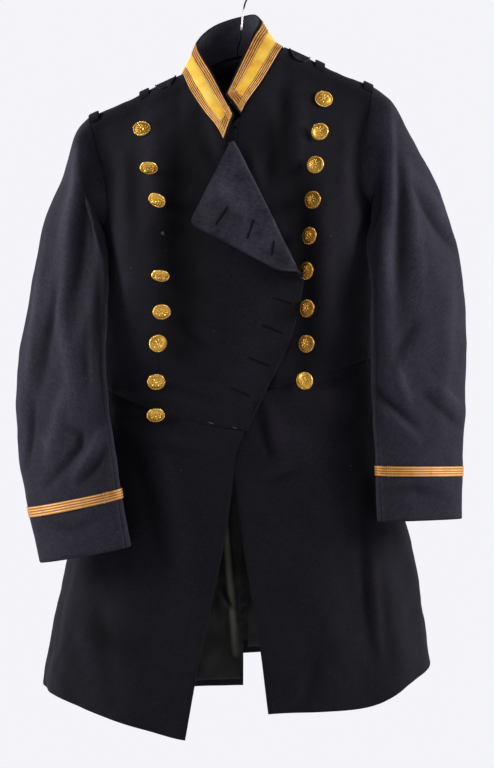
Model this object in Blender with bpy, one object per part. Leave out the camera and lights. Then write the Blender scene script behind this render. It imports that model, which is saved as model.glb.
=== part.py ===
"""A double-breasted military dress coat, hanging on a plain hanger.

The wearer's left is +X and the coat's front faces -Y, so a viewer in front sees the wearer's right on
the left hand. The origin is the top of the hanger's hook, inside the bend, where a rail holds it.

Cloth pieces are walls cut from one shell. A point of the shell has a side (+1 is the wearer's left), an
angle round the body (0 is the front centre, 90 the side, 180 the back centre) and a distance down from
the shoulder line. Tables are in millimetres and degrees.
"""

import math

import bpy
import numpy as np

MM = 0.001
LEFT = 1
RIGHT = -1

# Cloth
BODY_WALL = 2.2
SLEEVE_WALL = 1.8
COLLAR_WALL = 2.6
LINING_WALL = 1.0
LACE_WALL = 0.8
SEAM = 0.3
TOP_LAYER = 4.6
TOP_LAYER_ANGLES = (62.0, 28.0)
TOP_LAYER_DOWN = 90.0
BACK_LAYER = 3.4

# Shoulder line, from the neck to the shoulder point, each side at its own height: the coat hangs askew
NECK_MIDDLE = -6.4
NECK_HALF = 65.3
NECK_RISE = 40.0
NECK_HEIGHT = {LEFT: -100.0, RIGHT: -134.5}
SHOULDER_SLOPE = {LEFT: 0.453, RIGHT: 0.467}
RIDGE = 22.0
CHEST_DOWN = 228.0
CHEST_HEIGHT = -345.0
ASKEW = 0.106
ARMPIT_DOWN = 214.0
BACK_NECK_DOWN = 24.0

# The shell, one row for each level
SHELL_COLUMNS = ("down", "middle", "half", "front", "back", "taper", "square")
SHELL = (
    (0, -9.0, 180.5, 0, 0, 0.80, 0.17),
    (26, -8.5, 180, 9, 22, 0.80, 0.17),
    (66, -7.5, 178, 35, 41, 0.60, 0.17),
    (110, -6.0, 175, 61, 52, 0.35, 0.16),
    (150, -5.0, 173, 74, 59, 0.15, 0.15),
    (228, -2.5, 173, 82, 64, 0.0, 0.13),
    (330, -2.5, 171, 76, 52, 0.0, 0.11),
    (420, -1.5, 170, 66, 40, 0.0, 0.09),
    (520, -2.0, 184.5, 70, 54, 0.0, 0.08),
    (620, -2.0, 210.5, 78, 66, 0.0, 0.07),
    (700, -3.0, 227.5, 84, 72, 0.0, 0.06),
    (780, -4.0, 240.5, 90, 78, 0.0, 0.06),
    (880, -4.5, 250, 95, 84, 0.0, 0.06),
)

# Broad folds of the hanging cloth: where each starts and ends, how wide it is and how far it stands out
FOLD_COLUMNS = ("side", "top", "bottom", "angle_top", "angle_bottom", "width", "height")
BODY_FOLDS = (
    (RIGHT, 430, 900, 62, 66, 13, 7.0),
    (RIGHT, 450, 900, 40, 34, 10, 4.5),
    (RIGHT, 440, 900, 96, 100, 15, 8.0),
    (RIGHT, 430, 900, 128, 126, 14, 8.0),
    (LEFT, 430, 900, 50, 56, 11, 6.0),
    (LEFT, 470, 900, 30, 27, 9, 4.0),
    (LEFT, 440, 900, 84, 88, 15, 8.0),
    (LEFT, 430, 900, 126, 124, 14, 8.0),
    (RIGHT, 120, 330, 48, 40, 12, 4.5),
    (LEFT, 110, 330, 50, 46, 12, 3.5),
    (RIGHT, 60, 300, 146, 142, 16, 4.0),
    (LEFT, 60, 300, 146, 142, 16, 4.0),
)

# Edges of the pieces, as points (x, height) seen from the front, top to bottom
NECK_FRONT = {
    RIGHT: ((-71.7, -134.5), (-60.8, -159.0), (-41.3, -192.0), (-17.1, -231.0)),
    LEFT: ((58.9, -100.0), (47.0, -121.5), (30.4, -151.0), (4.0, -195.0)),
}
LAPEL_SEAM = {
    RIGHT: ((-12.0, -290), (-8.5, -364), (-15.7, -432), (-24.0, -506), (-35.4, -580), (-38.6, -600)),
    LEFT: ((2.0, -270), (8.0, -364), (16.0, -450), (28.0, -520), (34.0, -560), (37.2, -580)),
}
FRONT_EDGE = {
    RIGHT: (
        (78.2, -407), (73.4, -432), (58.5, -482), (33.8, -531), (11.5, -581), (-2.1, -618),
        (-7.1, -661), (-15.7, -723), (-30.6, -797), (-46.6, -871), (-65.2, -975),
    ),
    LEFT: (
        (-40, -240), (-70, -300), (-72, -400), (-55, -480), (-32, -545), (-14, -610),
        (-4.6, -661), (9.6, -748), (26.2, -847), (38.7, -945),
    ),
}
ARMHOLE_COLUMNS = ("down", "front", "back")
ARMHOLE = (
    (0, 82.5, 97.5),
    (26, 77.0, 104.0),
    (66, 70.5, 112.0),
    (110, 65.0, 118.0),
    (150, 63.5, 119.0),
    (190, 71.5, 109.0),
    (214, 89.6, 90.4),
)
SIDE_SEAM = ((214, 90.0), (250, 94.0), (420, 96.0))
BACK_SEAM = ((150, 119.0), (190, 128.0), (240, 141.0), (320, 157.0), (386, 165.0))
BACK_SKIRT_EDGE = ((386, 165.0), (520, 163.5), (700, 161.0), (880, 159.0))
PLEAT_UNDERLAP = 4.5
VENT_LAP = {LEFT: 183.0, RIGHT: 182.4}
ARMHOLE_SPAN = 154.0

# Waist seam and hem: the distance down at angles round each side
WAIST_ANGLES = (-16, 0, 32, 70, 110, 166)
WAIST = {RIGHT: (479, 470, 437, 404, 394, 388), LEFT: (440, 432, 414, 400, 392, 386)}
HEM_ANGLES = (-16, 14, 25, 42, 62, 77, 90, 120, 150, 184)
HEM = {
    RIGHT: (850, 844, 828, 805, 784, 776, 773, 783, 800, 812),
    LEFT: (823, 825, 829, 831, 812, 803, 797, 788, 776, 768),
}

# The corner of the right lapel, turned back along a slanting fold
FOLD_TOP = (-8.4, -233.5)
FOLD_END = (76.0, -404.5)
FLAP_CORNER_ALONG = 68.5
FLAP_CORNER_OUT = 88.0
FLAP_LEAST = 3.0
FOLD_RADIUS = 3.2
FOLD_FADE = 32.0
LAPEL_SEAM_CLEAR = 0.38
LAPEL_EDGE = 0.45
FLAP_CURL = 11.0

# Sleeves: the centre of each section, its half breadth as seen from the front, its half depth, how far
# the outer end rises over the inner one, and how far the inner end swings forward
SLEEVE_COLUMNS = ("x", "y", "height", "breadth", "depth", "rise", "swing")
SLEEVES = {
    RIGHT: (
        (-195, -3, -276, 66, 54, 79, 0),
        (-199, -14, -316, 55, 50, 62, 16),
        (-207, -33, -354, 50, 42, 34, 30),
        (-215.2, -41, -424, 51, 42, 8, 30),
        (-221.8, -50, -487, 55.5, 40, 2, 27),
        (-221.8, -59, -550, 60, 38, -3, 22),
        (-214.5, -73, -612, 62.5, 34, -7, 20),
        (-203, -86, -675, 60.5, 29, -10, 18),
        (-189, -96, -741, 58.8, 24, -11, 16),
    ),
    LEFT: (
        (186.5, -3, -243, 70, 54, 79, 0),
        (201.5, -13, -282, 57.5, 50, 60, 16),
        (212.7, -29, -323, 56.5, 43, 32, 28),
        (227.5, -38, -398, 60.5, 43, 8, 28),
        (229.5, -46, -474, 62, 40, 3, 25),
        (228.5, -51, -550, 60.3, 38, 1, 20),
        (227.8, -60, -612, 56.8, 33, 1, 18),
        (227.5, -66, -660, 55, 28, 1, 16),
        (227.3, -72, -700, 54, 23, 1, 15),
    ),
}
SLEEVE_SEAM_FRONT = 148.0
SLEEVE_SEAM_BACK = 262.0
SLEEVE_SEAM_TRIM = 0.25
# Broad sleeve creases: the first and last section that each crosses, its place round the sleeve
CREASE_COLUMNS = ("first", "last", "angle_first", "angle_last", "width", "height")
SLEEVE_FOLDS = {
    RIGHT: ((0.6, 5.2, 66, 40, 15, 5.5), (1.0, 5.6, 100, 84, 14, -5.0), (2.4, 7.2, 15, 30, 13, 4.0)),
    LEFT: ((0.6, 5.6, 64, 46, 15, 5.5), (1.2, 6.2, 98, 90, 14, -4.5), (3.0, 7.0, 20, 62, 12, 3.5)),
}
CUFF_LACE_UP = {LEFT: 66.0, RIGHT: 58.0}
CUFF_LACE = 13.5
ARMHOLE_GAP = 1.4
ARMHOLE_HALF_DEPTH = 48.0

# Collar: points (x, y, height) of its top edge, from the right front end round the back to the left one
COLLAR_TOP = (
    (-5, -84, -194), (-31, -37, -137), (-50, -5, -99), (-51, 12, -87), (-42.5, 26, -75), (-29, 38, -64.5),
    (-10.5, 46, -56.5), (6, 46, -52.5), (21.5, 38, -51), (28, 26, -57), (17, -2, -86), (5, -28, -116),
    (-15, -71, -167),
)
# Shares of the collar's height where its lower and upper lace begin and end, and of its length at the ends
COLLAR_ROWS = (0.0, 0.02, 0.28, 0.66, 0.93, 1.0)
COLLAR_ENDS = (0.0, 0.006, 0.042)
COLLAR_SPANS = 26
COLLAR_SEAM = 0.9
COLLAR_SWELL = 2.0
COLLAR_MIDDLE = (-10.0, -8.0, -110.0)

LINING_START = 150.0
LINING_END = {LEFT: 176.2, RIGHT: 181.6}
LINING_HANG = 1.6
LINING_BELOW_WAIST = 8.0
LINING_ABOVE_HEM = 9.0

BUTTON_RADIUS = 11.1
# Buttons: x and height of each, how far its face nods up and turns to the wearer's left
BUTTON_COLUMNS = ("x", "height", "nod", "turn")
BUTTONS = {
    RIGHT: (
        (-121.0, -208.0, 30, -6), (-110.5, -262.7, -44, -4), (-100.0, -303.7, -36, -26),
        (-95.5, -397.4, -46, -8), (-93.9, -441.5, -30, 6), (-98.5, -480.0, -16, 14),
        (-101.2, -528.0, -24, 4), (-101.8, -569.5, -34, 6),
    ),
    LEFT: (
        (108.5, -170.0, 18, 6), (102.0, -214.5, 10, -20), (95.8, -257.5, 8, -24), (92.0, -302.0, 4, -32),
        (87.7, -346.8, 2, -44), (84.0, -390.0, 2, -46), (85.0, -436.2, 2, -42), (84.5, -480.0, 2, -34),
        (82.5, -526.0, -8, -24),
    ),
}
BUTTON_STAND = 3.4
BUTTON_RIM = 0.9
BUTTON_DOME = 3.7
SHANK_RADIUS = 1.2

# Shoulder loops and patches for epaulettes, as shares of the shoulder line from the neck outwards, and
# how far the ends of each loop lie over the smooth shell
LOOP_PLACES = {"inner": 0.40, "outer": 0.945}
LOOP_ENDS = {"inner": -0.4, "outer": 0.3}
LOOP_WIDTH = 12.0
LOOP_REACH = 21.0
LOOP_ARCH = 2.6
TAPE_WALL = 1.2
PATCH_PLACE = 0.17
PATCH_RADIUS = 13.0
PATCH_REACH = 15.0
PATCH_ROUND = 0.72
PATCH_LIFT = 0.8

HOOK_RADIUS = 21.6
WIRE = 1.6
# The hook's wire: x of its foot, how far it stands straight, then points (x, height) up to the bend
HOOK_FOOT = -1.0
HOOK_UPRIGHT = 12.0
HOOK_STEM = ((2.0, -92.0), (4.6, -73.0), (6.4, -56.0), (10.2, -40.0))
HOOK_TURNS = (-14, 200, 12)
HANGER_ENDS = (-172.0, 155.0)
HANGER_HALF_HEIGHT = 7.0
HANGER_HALF_DEPTH = 11.5
HANGER_CLEAR = 1.4
HANGER_NECK_RISE = 6.0


def through(xs, ys):
    """A smooth curve through the points of a table column."""
    xs, ys = np.array(xs, float), np.array(ys, float)
    slopes = np.gradient(ys, xs)

    def value(x):
        x = np.clip(x, xs[0], xs[-1])
        i = np.clip(np.searchsorted(xs, x, side="right") - 1, 0, len(xs) - 2)
        step = xs[i + 1] - xs[i]
        t = (x - xs[i]) / step
        return (
            (1 + 2 * t) * (1 - t) ** 2 * ys[i]
            + t * (1 - t) ** 2 * step * slopes[i]
            + t * t * (3 - 2 * t) * ys[i + 1]
            + t * t * (t - 1) * step * slopes[i + 1]
        )

    return value


def columns_of(names, rows, along):
    """Each named column of a table as a smooth curve along one of them."""
    table = {name: [row[i] for row in rows] for i, name in enumerate(names)}
    return {name: through(table[along], column) for name, column in table.items()}


def ease(t):
    t = np.clip(t, 0, 1)
    return t * t * (3 - 2 * t)


def mix(a, b, t):
    return a + (b - a) * t


def unit(v):
    return v / np.linalg.norm(v, axis=-1, keepdims=True)


SHELL_CURVES = columns_of(SHELL_COLUMNS, SHELL, "down")


def top_height(x):
    """Height of the shoulder line above x, with the neck's rise in the middle."""
    x = np.asarray(x, float)
    place = np.clip((x - NECK_MIDDLE) / NECK_HALF, -1, 1)
    line = mix(NECK_HEIGHT[RIGHT], NECK_HEIGHT[LEFT], (place + 1) / 2)
    beyond = np.maximum(np.abs(x - NECK_MIDDLE) - NECK_HALF, 0)
    slope = np.where(x > NECK_MIDDLE, SHOULDER_SLOPE[LEFT], SHOULDER_SLOPE[RIGHT])
    return line + NECK_RISE * (1 - place**2) - slope * beyond


def chest_height(x):
    return CHEST_HEIGHT + ASKEW * x


def height_at(x, down):
    share = np.clip(down / CHEST_DOWN, 0, 1)
    return mix(top_height(x), chest_height(x), share) - np.maximum(down - CHEST_DOWN, 0)


def down_at(x, height):
    """The distance down of a point seen at x and this height."""
    top, chest = top_height(x), chest_height(x)
    above = CHEST_DOWN * (top - height) / (top - chest)
    return np.where(height > chest, above, CHEST_DOWN + chest - height)


def run_of(down):
    """Distance along the cloth over the shoulder's rounded ridge, from the distance down."""
    down = np.asarray(down, float)
    over = RIDGE * np.arccos(np.clip(1 - down / RIDGE, -1, 1))
    return np.where(down < RIDGE, over, RIDGE * math.pi / 2 + down - RIDGE)


def down_of(run):
    run = np.asarray(run, float)
    quarter = RIDGE * math.pi / 2
    over = RIDGE * (1 - np.cos(np.minimum(run, quarter) / RIDGE))
    return np.where(run < quarter, over, RIDGE + run - quarter)


def breadth_share(angle, square):
    a = np.radians(angle)
    return np.sin(a) * (1 + square * np.cos(a) ** 2)


def angle_for(share, square):
    """The angle, -90 to 90, where the section reaches this share of its half width."""
    low, high = np.full(np.shape(share), -90.0), np.full(np.shape(share), 90.0)
    for _ in range(40):
        middle = (low + high) / 2
        under = breadth_share(middle, square) < share
        low, high = np.where(under, middle, low), np.where(under, high, middle)
    return (low + high) / 2


def bare_shell(side, angle, run):
    """The shell without folds: an upright tube below the arms, open over them, rounded at the shoulder."""
    down = down_of(run)
    curve = {name: column(down) for name, column in SHELL_CURVES.items()}
    a = np.radians(angle)
    share = breadth_share(angle, curve["square"])
    x = curve["middle"] + side * curve["half"] * share
    ridge = RIDGE * np.sin(np.minimum(np.asarray(run, float) / RIDGE, math.pi / 2))
    front = np.cos(a) >= 0
    swell = np.where(front, curve["front"], curve["back"])
    swell = swell * (1 - curve["taper"] * np.abs(share) ** 1.5)
    round_side = np.abs(np.cos(a)) * (1 + curve["square"] * np.sin(a) ** 2)
    depth = (ridge + swell) * mix(1.0, round_side, ease(down / 190))
    return np.stack([x, np.where(front, -depth, depth), height_at(x, down)], axis=-1)


def shell_normal(side, angle, run):
    da, dr = 0.4, 0.4
    across = bare_shell(side, angle + da, run) - bare_shell(side, angle - da, run)
    along = bare_shell(side, angle, run + dr) - bare_shell(side, angle, np.maximum(run - dr, 0))
    return unit(side * np.cross(along, across))


def fold_height(side, angle, down):
    total = np.zeros(np.broadcast(angle, down).shape)
    for row in BODY_FOLDS:
        fold = dict(zip(FOLD_COLUMNS, row))
        if fold["side"] != side:
            continue
        t = (down - fold["top"]) / (fold["bottom"] - fold["top"])
        middle = mix(fold["angle_top"], fold["angle_bottom"], np.clip(t, 0, 1))
        swell = np.exp(-(((angle - middle) / fold["width"]) ** 2))
        grown = ease(t * 2.2) if fold["bottom"] > 800 else ease(t * 3) * ease((1 - t) * 3)
        total = total + fold["height"] * swell * grown
    return total


def shell(side, angle, down, out=0.0):
    """A point of the cloth, this far outside its outer face."""
    angle, down = np.broadcast_arrays(np.asarray(angle, float), np.asarray(down, float))
    run = run_of(down)
    lift = fold_height(side, angle, down) + out
    return bare_shell(side, angle, run) + shell_normal(side, angle, run) * lift[..., None]


def front_angle(side, x, height):
    down = down_at(x, height)
    share = side * (x - SHELL_CURVES["middle"](down)) / SHELL_CURVES["half"](down)
    return angle_for(np.clip(share, -0.999, 0.999), SHELL_CURVES["square"](down)), down


def on_front(side, x, height, out=0.0):
    """The point of the cloth that a viewer in front sees at x and this height."""
    angle, down = front_angle(side, np.asarray(x, float), np.asarray(height, float))
    return shell(side, angle, down, out)


def seen_edge(side, points):
    """An edge drawn as (x, height) points, as the angle at each distance down."""
    angle, down = front_angle(side, *np.array(points, float).T)
    return through(down, angle)


def angle_table(rows):
    return through(*np.array(rows, float).T)


ARMHOLE_CURVES = columns_of(ARMHOLE_COLUMNS, ARMHOLE, "down")
SIDE_CURVE = angle_table(SIDE_SEAM)
BACK_CURVE = angle_table(BACK_SEAM)
BACK_SKIRT_CURVE = angle_table(BACK_SKIRT_EDGE)
WAIST_CURVES = {side: through(WAIST_ANGLES, WAIST[side]) for side in WAIST}
HEM_CURVES = {side: through(HEM_ANGLES, HEM[side]) for side in HEM}
NECK_CURVES = {side: seen_edge(side, NECK_FRONT[side] + LAPEL_SEAM[side]) for side in NECK_FRONT}
EDGE_CURVES = {side: seen_edge(side, FRONT_EDGE[side]) for side in FRONT_EDGE}


def armhole_front(down):
    return np.where(down < ARMPIT_DOWN, ARMHOLE_CURVES["front"](down), SIDE_CURVE(down))


def armhole_back(down):
    return np.where(down < ARMPIT_DOWN, ARMHOLE_CURVES["back"](down), SIDE_CURVE(down))


def back_piece_side(down):
    upper = np.where(down < ARMHOLE_SPAN, ARMHOLE_CURVES["back"](down), BACK_CURVE(down))
    return np.where(down < BACK_SEAM[-1][0], upper, BACK_SKIRT_CURVE(down))


def neck_back_down(side, angle):
    """The back neckline: down in the middle, up to the shoulder line at each side of the neck."""
    share = breadth_share(180 - angle, SHELL_CURVES["square"](0.0))
    x = SHELL_CURVES["middle"](0.0) + side * SHELL_CURVES["half"](0.0) * share
    return BACK_NECK_DOWN * np.sqrt(np.clip(1 - ((x - NECK_MIDDLE) / NECK_HALF) ** 2, 0, 1))


def level(down):
    return lambda angle: np.full_like(angle, down)


def grid_of(side, first, last, spans, columns, crowd=1.0):
    """Angles and distances down of a piece between its two side edges, trimmed for the seams.

    Spans run down the piece: each has its top line, its bottom line, its number of rows and their crowding
    towards the top. Pieces that meet at a side seam share their spans there, so their edges match.
    """
    u = 1 - (1 - np.linspace(0, 1, columns + 1)[None, :]) ** crowd

    def angle_on(down):
        a, b = first(down), last(down)
        per_first = np.linalg.norm(shell(side, a + 0.5, down) - shell(side, a - 0.5, down), axis=-1)
        per_last = np.linalg.norm(shell(side, b + 0.5, down) - shell(side, b - 0.5, down), axis=-1)
        a = a + SEAM / 2 / np.maximum(per_first, 0.2)
        b = b - SEAM / 2 / np.maximum(per_last, 0.2)
        return mix(a, b, u)

    def line_down(line, guess, trim):
        down = np.full_like(u, guess)
        for _ in range(12):
            down = line(angle_on(down))
        return run_of(np.maximum(down + trim, down_of(SEAM / 2)))

    runs = []
    for number, (top, bottom, rows, power) in enumerate(spans):
        high = line_down(top, 60.0, SEAM if number == 0 else 0.0)
        low = line_down(bottom, 500.0, -SEAM if number == len(spans) - 1 else 0.0)
        v = (np.linspace(0, 1, rows + 1) ** power)[:, None]
        runs.append(mix(high, low, v)[0 if number == 0 else 1 :])
    down = down_of(np.concatenate(runs))
    return angle_on(down), down


def finish(name, colour, roughness, metallic=0.0):
    material = bpy.data.materials.new(name)
    material.use_nodes = True
    shader = material.node_tree.nodes["Principled BSDF"]
    shader.inputs["Base Color"].default_value = (*colour, 1.0)
    shader.inputs["Roughness"].default_value = roughness
    shader.inputs["Metallic"].default_value = metallic
    material.diffuse_color = (*colour, 1.0)
    return material


def add_mesh(name, points, faces, material):
    """One closed body, its faces turned outwards."""
    points = np.asarray(points, float) * MM
    fan = np.array([(f[0], f[i], f[i + 1]) for f in faces for i in range(1, len(f) - 1)])
    a, b, c = points[fan[:, 0]], points[fan[:, 1]], points[fan[:, 2]]
    if np.einsum("ij,ij->i", a, np.cross(b, c)).sum() < 0:
        faces = [tuple(reversed(f)) for f in faces]
    mesh = bpy.data.meshes.new(name)
    mesh.from_pydata([tuple(p) for p in points], [], faces)
    mesh.materials.append(material)
    mesh.shade_smooth()
    mesh.set_sharp_from_angle(angle=math.radians(40))
    piece = bpy.data.objects.new(name, mesh)
    bpy.context.scene.collection.objects.link(piece)
    return piece


def add_wall(name, face, back, material, ring=False):
    """A closed wall between two grids of points. A ring's last column meets its first."""
    rows, columns = face.shape[:2]
    other = rows * columns
    spans = columns if ring else columns - 1

    def at(i, j):
        return i * columns + j % columns

    quads = []
    for i in range(rows - 1):
        for j in range(spans):
            quad = (at(i, j), at(i, j + 1), at(i + 1, j + 1), at(i + 1, j))
            quads.append(quad)
            quads.append(tuple(other + quad[k] for k in (0, 3, 2, 1)))
    for j in range(spans):
        for i, (a, b) in ((0, (j + 1, j)), (rows - 1, (j, j + 1))):
            quads.append((at(i, a), at(i, b), other + at(i, b), other + at(i, a)))
    if not ring:
        for i in range(rows - 1):
            for j, (a, b) in ((0, (i, i + 1)), (columns - 1, (i + 1, i))):
                quads.append((at(a, j), at(b, j), other + at(b, j), other + at(a, j)))
    faces = [triangle for a, b, c, d in quads for triangle in ((a, b, c), (a, c, d))]
    points = np.concatenate([face.reshape(-1, 3), back.reshape(-1, 3)])
    return add_mesh(name, points, faces, material)


def shell_wall(name, side, angle, down, lift, material, wall=BODY_WALL):
    add_wall(name, shell(side, angle, down, lift), shell(side, angle, down, lift - wall), material)


def front_lift(side, angle, down):
    """The right front lies over the left one, so it stands further out towards the centre."""
    if side == LEFT:
        return np.zeros(np.broadcast(angle, down).shape)
    starts, whole = TOP_LAYER_ANGLES
    return TOP_LAYER * ease((starts - angle) / (starts - whole)) * ease(down / TOP_LAYER_DOWN)


def side_name(side):
    return "left" if side == LEFT else "right"


def make_foreparts(cloth):
    for side in (LEFT, RIGHT):
        spans = (
            (level(0.0), level(ARMHOLE_SPAN), 7, 1.25),
            (level(ARMHOLE_SPAN), WAIST_CURVES[side], 8, 1.0),
        )
        angle, down = grid_of(side, NECK_CURVES[side], armhole_front, spans, 10)
        shell_wall(f"forepart_{side_name(side)}", side, angle, down, front_lift(side, angle, down), cloth)


def make_side_bodies(cloth):
    for side in (LEFT, RIGHT):
        spans = ((level(ARMHOLE_SPAN), WAIST_CURVES[side], 8, 1.0),)
        angle, down = grid_of(side, armhole_back, BACK_CURVE, spans, 5)
        shell_wall(f"side_body_{side_name(side)}", side, angle, down, np.zeros_like(angle), cloth)


def back_lift(side, angle, down):
    """Below the waist the back lies over the pleat, and the left back over the right one at the vent."""
    grown = BACK_LAYER * ease((down - 396) / 40)
    towards_vent = ease((angle - 171) / 6)
    return grown if side == LEFT else grown * (1 - towards_vent)


def make_backs(cloth):
    for side in (LEFT, RIGHT):

        def centre(down, side=side):
            return mix(180.0, VENT_LAP[side], ease((down - 450) / 50))

        def neck(angle, side=side):
            return neck_back_down(side, angle)

        spans = (
            (neck, level(ARMHOLE_SPAN), 5, 1.2),
            (level(ARMHOLE_SPAN), WAIST_CURVES[side], 8, 1.0),
            (WAIST_CURVES[side], HEM_CURVES[side], 9, 1.0),
        )
        angle, down = grid_of(side, back_piece_side, centre, spans, 10, 1.8)
        shell_wall(f"back_{side_name(side)}", side, angle, down, back_lift(side, angle, down), cloth)


def make_skirts(cloth):
    for side in (LEFT, RIGHT):

        def rear(down):
            return BACK_SKIRT_CURVE(down) + PLEAT_UNDERLAP * ease((down - 440) / 40)

        spans = ((WAIST_CURVES[side], HEM_CURVES[side], 10, 1.0),)
        angle, down = grid_of(side, EDGE_CURVES[side], rear, spans, 17)
        shell_wall(f"skirt_{side_name(side)}", side, angle, down, front_lift(side, angle, down), cloth)


def make_left_lapel(cloth):
    """The under lapel, which crosses the centre behind the right front."""
    top = np.array([NECK_FRONT[LEFT][-1], FRONT_EDGE[LEFT][0]], float)
    angle_top, down_top = front_angle(LEFT, *top.T)
    span = angle_top[0] - angle_top[1]

    def upper(angle):
        return mix(down_top[0], down_top[1], (angle_top[0] - angle) / span)

    def seam(down):
        return NECK_CURVES[LEFT](down) - LAPEL_SEAM_CLEAR

    angle, down = grid_of(LEFT, EDGE_CURVES[LEFT], seam, ((upper, WAIST_CURVES[LEFT], 12, 1.0),), 5)
    shell_wall("lapel_left", LEFT, angle, down, np.zeros_like(angle), cloth)


def flap_reach(along, length):
    """How far the turned-back corner reaches from the fold, at a distance along it."""
    rising = FLAP_CORNER_OUT * along / FLAP_CORNER_ALONG
    falling = FLAP_CORNER_OUT * (length - along) / (length - FLAP_CORNER_ALONG)
    soft = 5.0
    least = -soft * np.logaddexp(-rising / soft, -falling / soft)
    return np.maximum(least, FLAP_LEAST)


def lapel_point(s, t, out=0.0):
    """A point of the right lapel. s is 0 at the top of the fold, 1 at its end and 2 at the waist seam.

    t is 0 at the lapel seam, 1 at the fold or the front edge, 2 round the turn and 3 at the free edge.
    """
    s, t = np.broadcast_arrays(np.asarray(s, float), np.asarray(t, float))
    start, end = np.array(FOLD_TOP), np.array(FOLD_END)
    length = np.linalg.norm(end - start)
    way = (end - start) / length
    across = np.array([-way[1], way[0]])
    folded = s <= 1
    below = np.clip(s - 1, 0, 1)
    fold = start + np.clip(s, 0, 1)[..., None] * (end - start)
    angle_fold, down_fold = front_angle(RIGHT, fold[..., 0], fold[..., 1])
    end_down = down_at(*end)
    down_fold = np.where(folded, down_fold, mix(end_down, WAIST_CURVES[RIGHT](0.0), below))
    angle_fold = np.where(folded, angle_fold, EDGE_CURVES[RIGHT](down_fold))
    angle_seam = NECK_CURVES[RIGHT](down_fold) - LAPEL_SEAM_CLEAR
    edge = np.where(folded, 0.0, LAPEL_EDGE * np.maximum(t - 1, 0))
    angle = mix(angle_seam, angle_fold, np.clip(t, 0, 1)) - edge
    down = np.where(folded, down_fold, mix(end_down, WAIST_CURVES[RIGHT](angle) - 2 * SEAM, below))
    lift = front_lift(RIGHT, angle, down)
    flat = shell(RIGHT, angle, down, lift + out)

    opened = math.pi * (1 - 0.8 * ease(1 - (1 - s) * length / FOLD_FADE))
    around = opened * np.clip(t - 1, 0, 1)
    free = flap_reach(np.clip(s, 0, 1) * length, length) * np.maximum(t - 2, 0)
    radius = FOLD_RADIUS - out
    sideways = radius * np.sin(around) + free * np.cos(around)
    curl = FLAP_CURL * (free / FLAP_CORNER_OUT) ** 2
    height = lift + FOLD_RADIUS - radius * np.cos(around) + free * np.sin(around) + curl
    seen = fold + sideways[..., None] * across
    turned = on_front(RIGHT, seen[..., 0], seen[..., 1], height)
    return np.where((folded & (t > 1))[..., None], turned, flat)


def make_right_lapel(cloth):
    """The upper lapel, whose corner is turned back along a slanting fold."""
    s = np.concatenate([np.linspace(0, 1, 13), np.linspace(1, 2, 9)[1:]])[:, None]
    t = np.linspace(0, 3, 16)[None, :]
    add_wall("lapel_right", lapel_point(s, t), lapel_point(s, t, -BODY_WALL), cloth)


def armhole_ring(side, turn):
    """The armhole's edge: 0 at the shoulder, 90 in front, 180 under the arm, 270 behind."""
    turn = np.mod(turn, 360.0)
    down = ARMPIT_DOWN * (1 - np.cos(np.radians(turn))) / 2
    angle = np.where(turn <= 180, ARMHOLE_CURVES["front"](down), ARMHOLE_CURVES["back"](down))
    ring = shell(side, angle, down)
    return ring + np.array([side * ARMHOLE_GAP, 0, 0])


class Sleeve:
    """One sleeve as a surface: how far along it, from the armhole's edge to the cuff, and round it."""

    def __init__(self, side):
        self.side = side
        rows = SLEEVES[side]
        shoulder, armpit = armhole_ring(side, np.array([0.0, 180.0]))
        middle = (shoulder + armpit) / 2
        reach = shoulder - armpit
        rise = math.degrees(math.atan2(reach[2], side * reach[0]))
        first = (*middle, np.linalg.norm(reach) / 2, ARMHOLE_HALF_DEPTH, rise, 0)
        numbers = range(len(rows) + 1)
        table = [first, *rows]
        self.last = len(rows)
        self.curves = {
            name: through(numbers, [row[i] for row in table]) for i, name in enumerate(SLEEVE_COLUMNS)
        }

    def plain(self, along, turn):
        c = {name: curve(along) for name, curve in self.curves.items()}
        swing, rise, t = np.radians(c["swing"]), np.radians(c["rise"]), np.radians(turn)
        hidden = np.minimum((c["depth"] * np.sin(swing)) ** 2, 0.75 * c["breadth"] ** 2)
        half = np.sqrt(c["breadth"] ** 2 - hidden) / np.cos(swing)
        centre = np.stack([c["x"], c["y"], c["height"]], axis=-1)
        outer = np.stack(
            [self.side * np.cos(rise) * np.cos(swing), np.cos(rise) * np.sin(swing), np.sin(rise)], axis=-1
        )
        ahead = np.stack([-self.side * np.sin(swing), -np.cos(swing), np.zeros_like(swing)], axis=-1)
        return centre + outer * (half * np.cos(t))[..., None] + ahead * (c["depth"] * np.sin(t))[..., None]

    def creased(self, along, turn):
        along, turn = np.broadcast_arrays(np.asarray(along, float), np.asarray(turn, float))
        start = armhole_ring(self.side, turn) - self.plain(np.zeros_like(along), turn)
        left_over = np.clip(1 - along / 2.2, 0, 1) ** 2
        return self.plain(along, turn) + start * left_over[..., None]

    def point(self, along, turn, out=0.0):
        along, turn = np.broadcast_arrays(np.asarray(along, float), np.asarray(turn, float))
        around = self.creased(along, turn + 1.5) - self.creased(along, turn - 1.5)
        down = self.creased(np.minimum(along + 0.04, self.last), turn) - self.creased(
            np.maximum(along - 0.04, 0), turn
        )
        normal = unit(self.side * np.cross(around, down))
        lift = np.zeros(along.shape)
        for row in SLEEVE_FOLDS[self.side]:
            fold = dict(zip(CREASE_COLUMNS, row))
            t = (along - fold["first"]) / (fold["last"] - fold["first"])
            middle = mix(fold["angle_first"], fold["angle_last"], np.clip(t, 0, 1))
            away = np.mod(turn - middle + 180, 360) - 180
            swell = np.exp(-((away / fold["width"]) ** 2)) * ease(t * 3) * ease((1 - t) * 3)
            lift = lift + fold["height"] * swell
        return self.creased(along, turn) + normal * (lift + out)[..., None]


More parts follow.
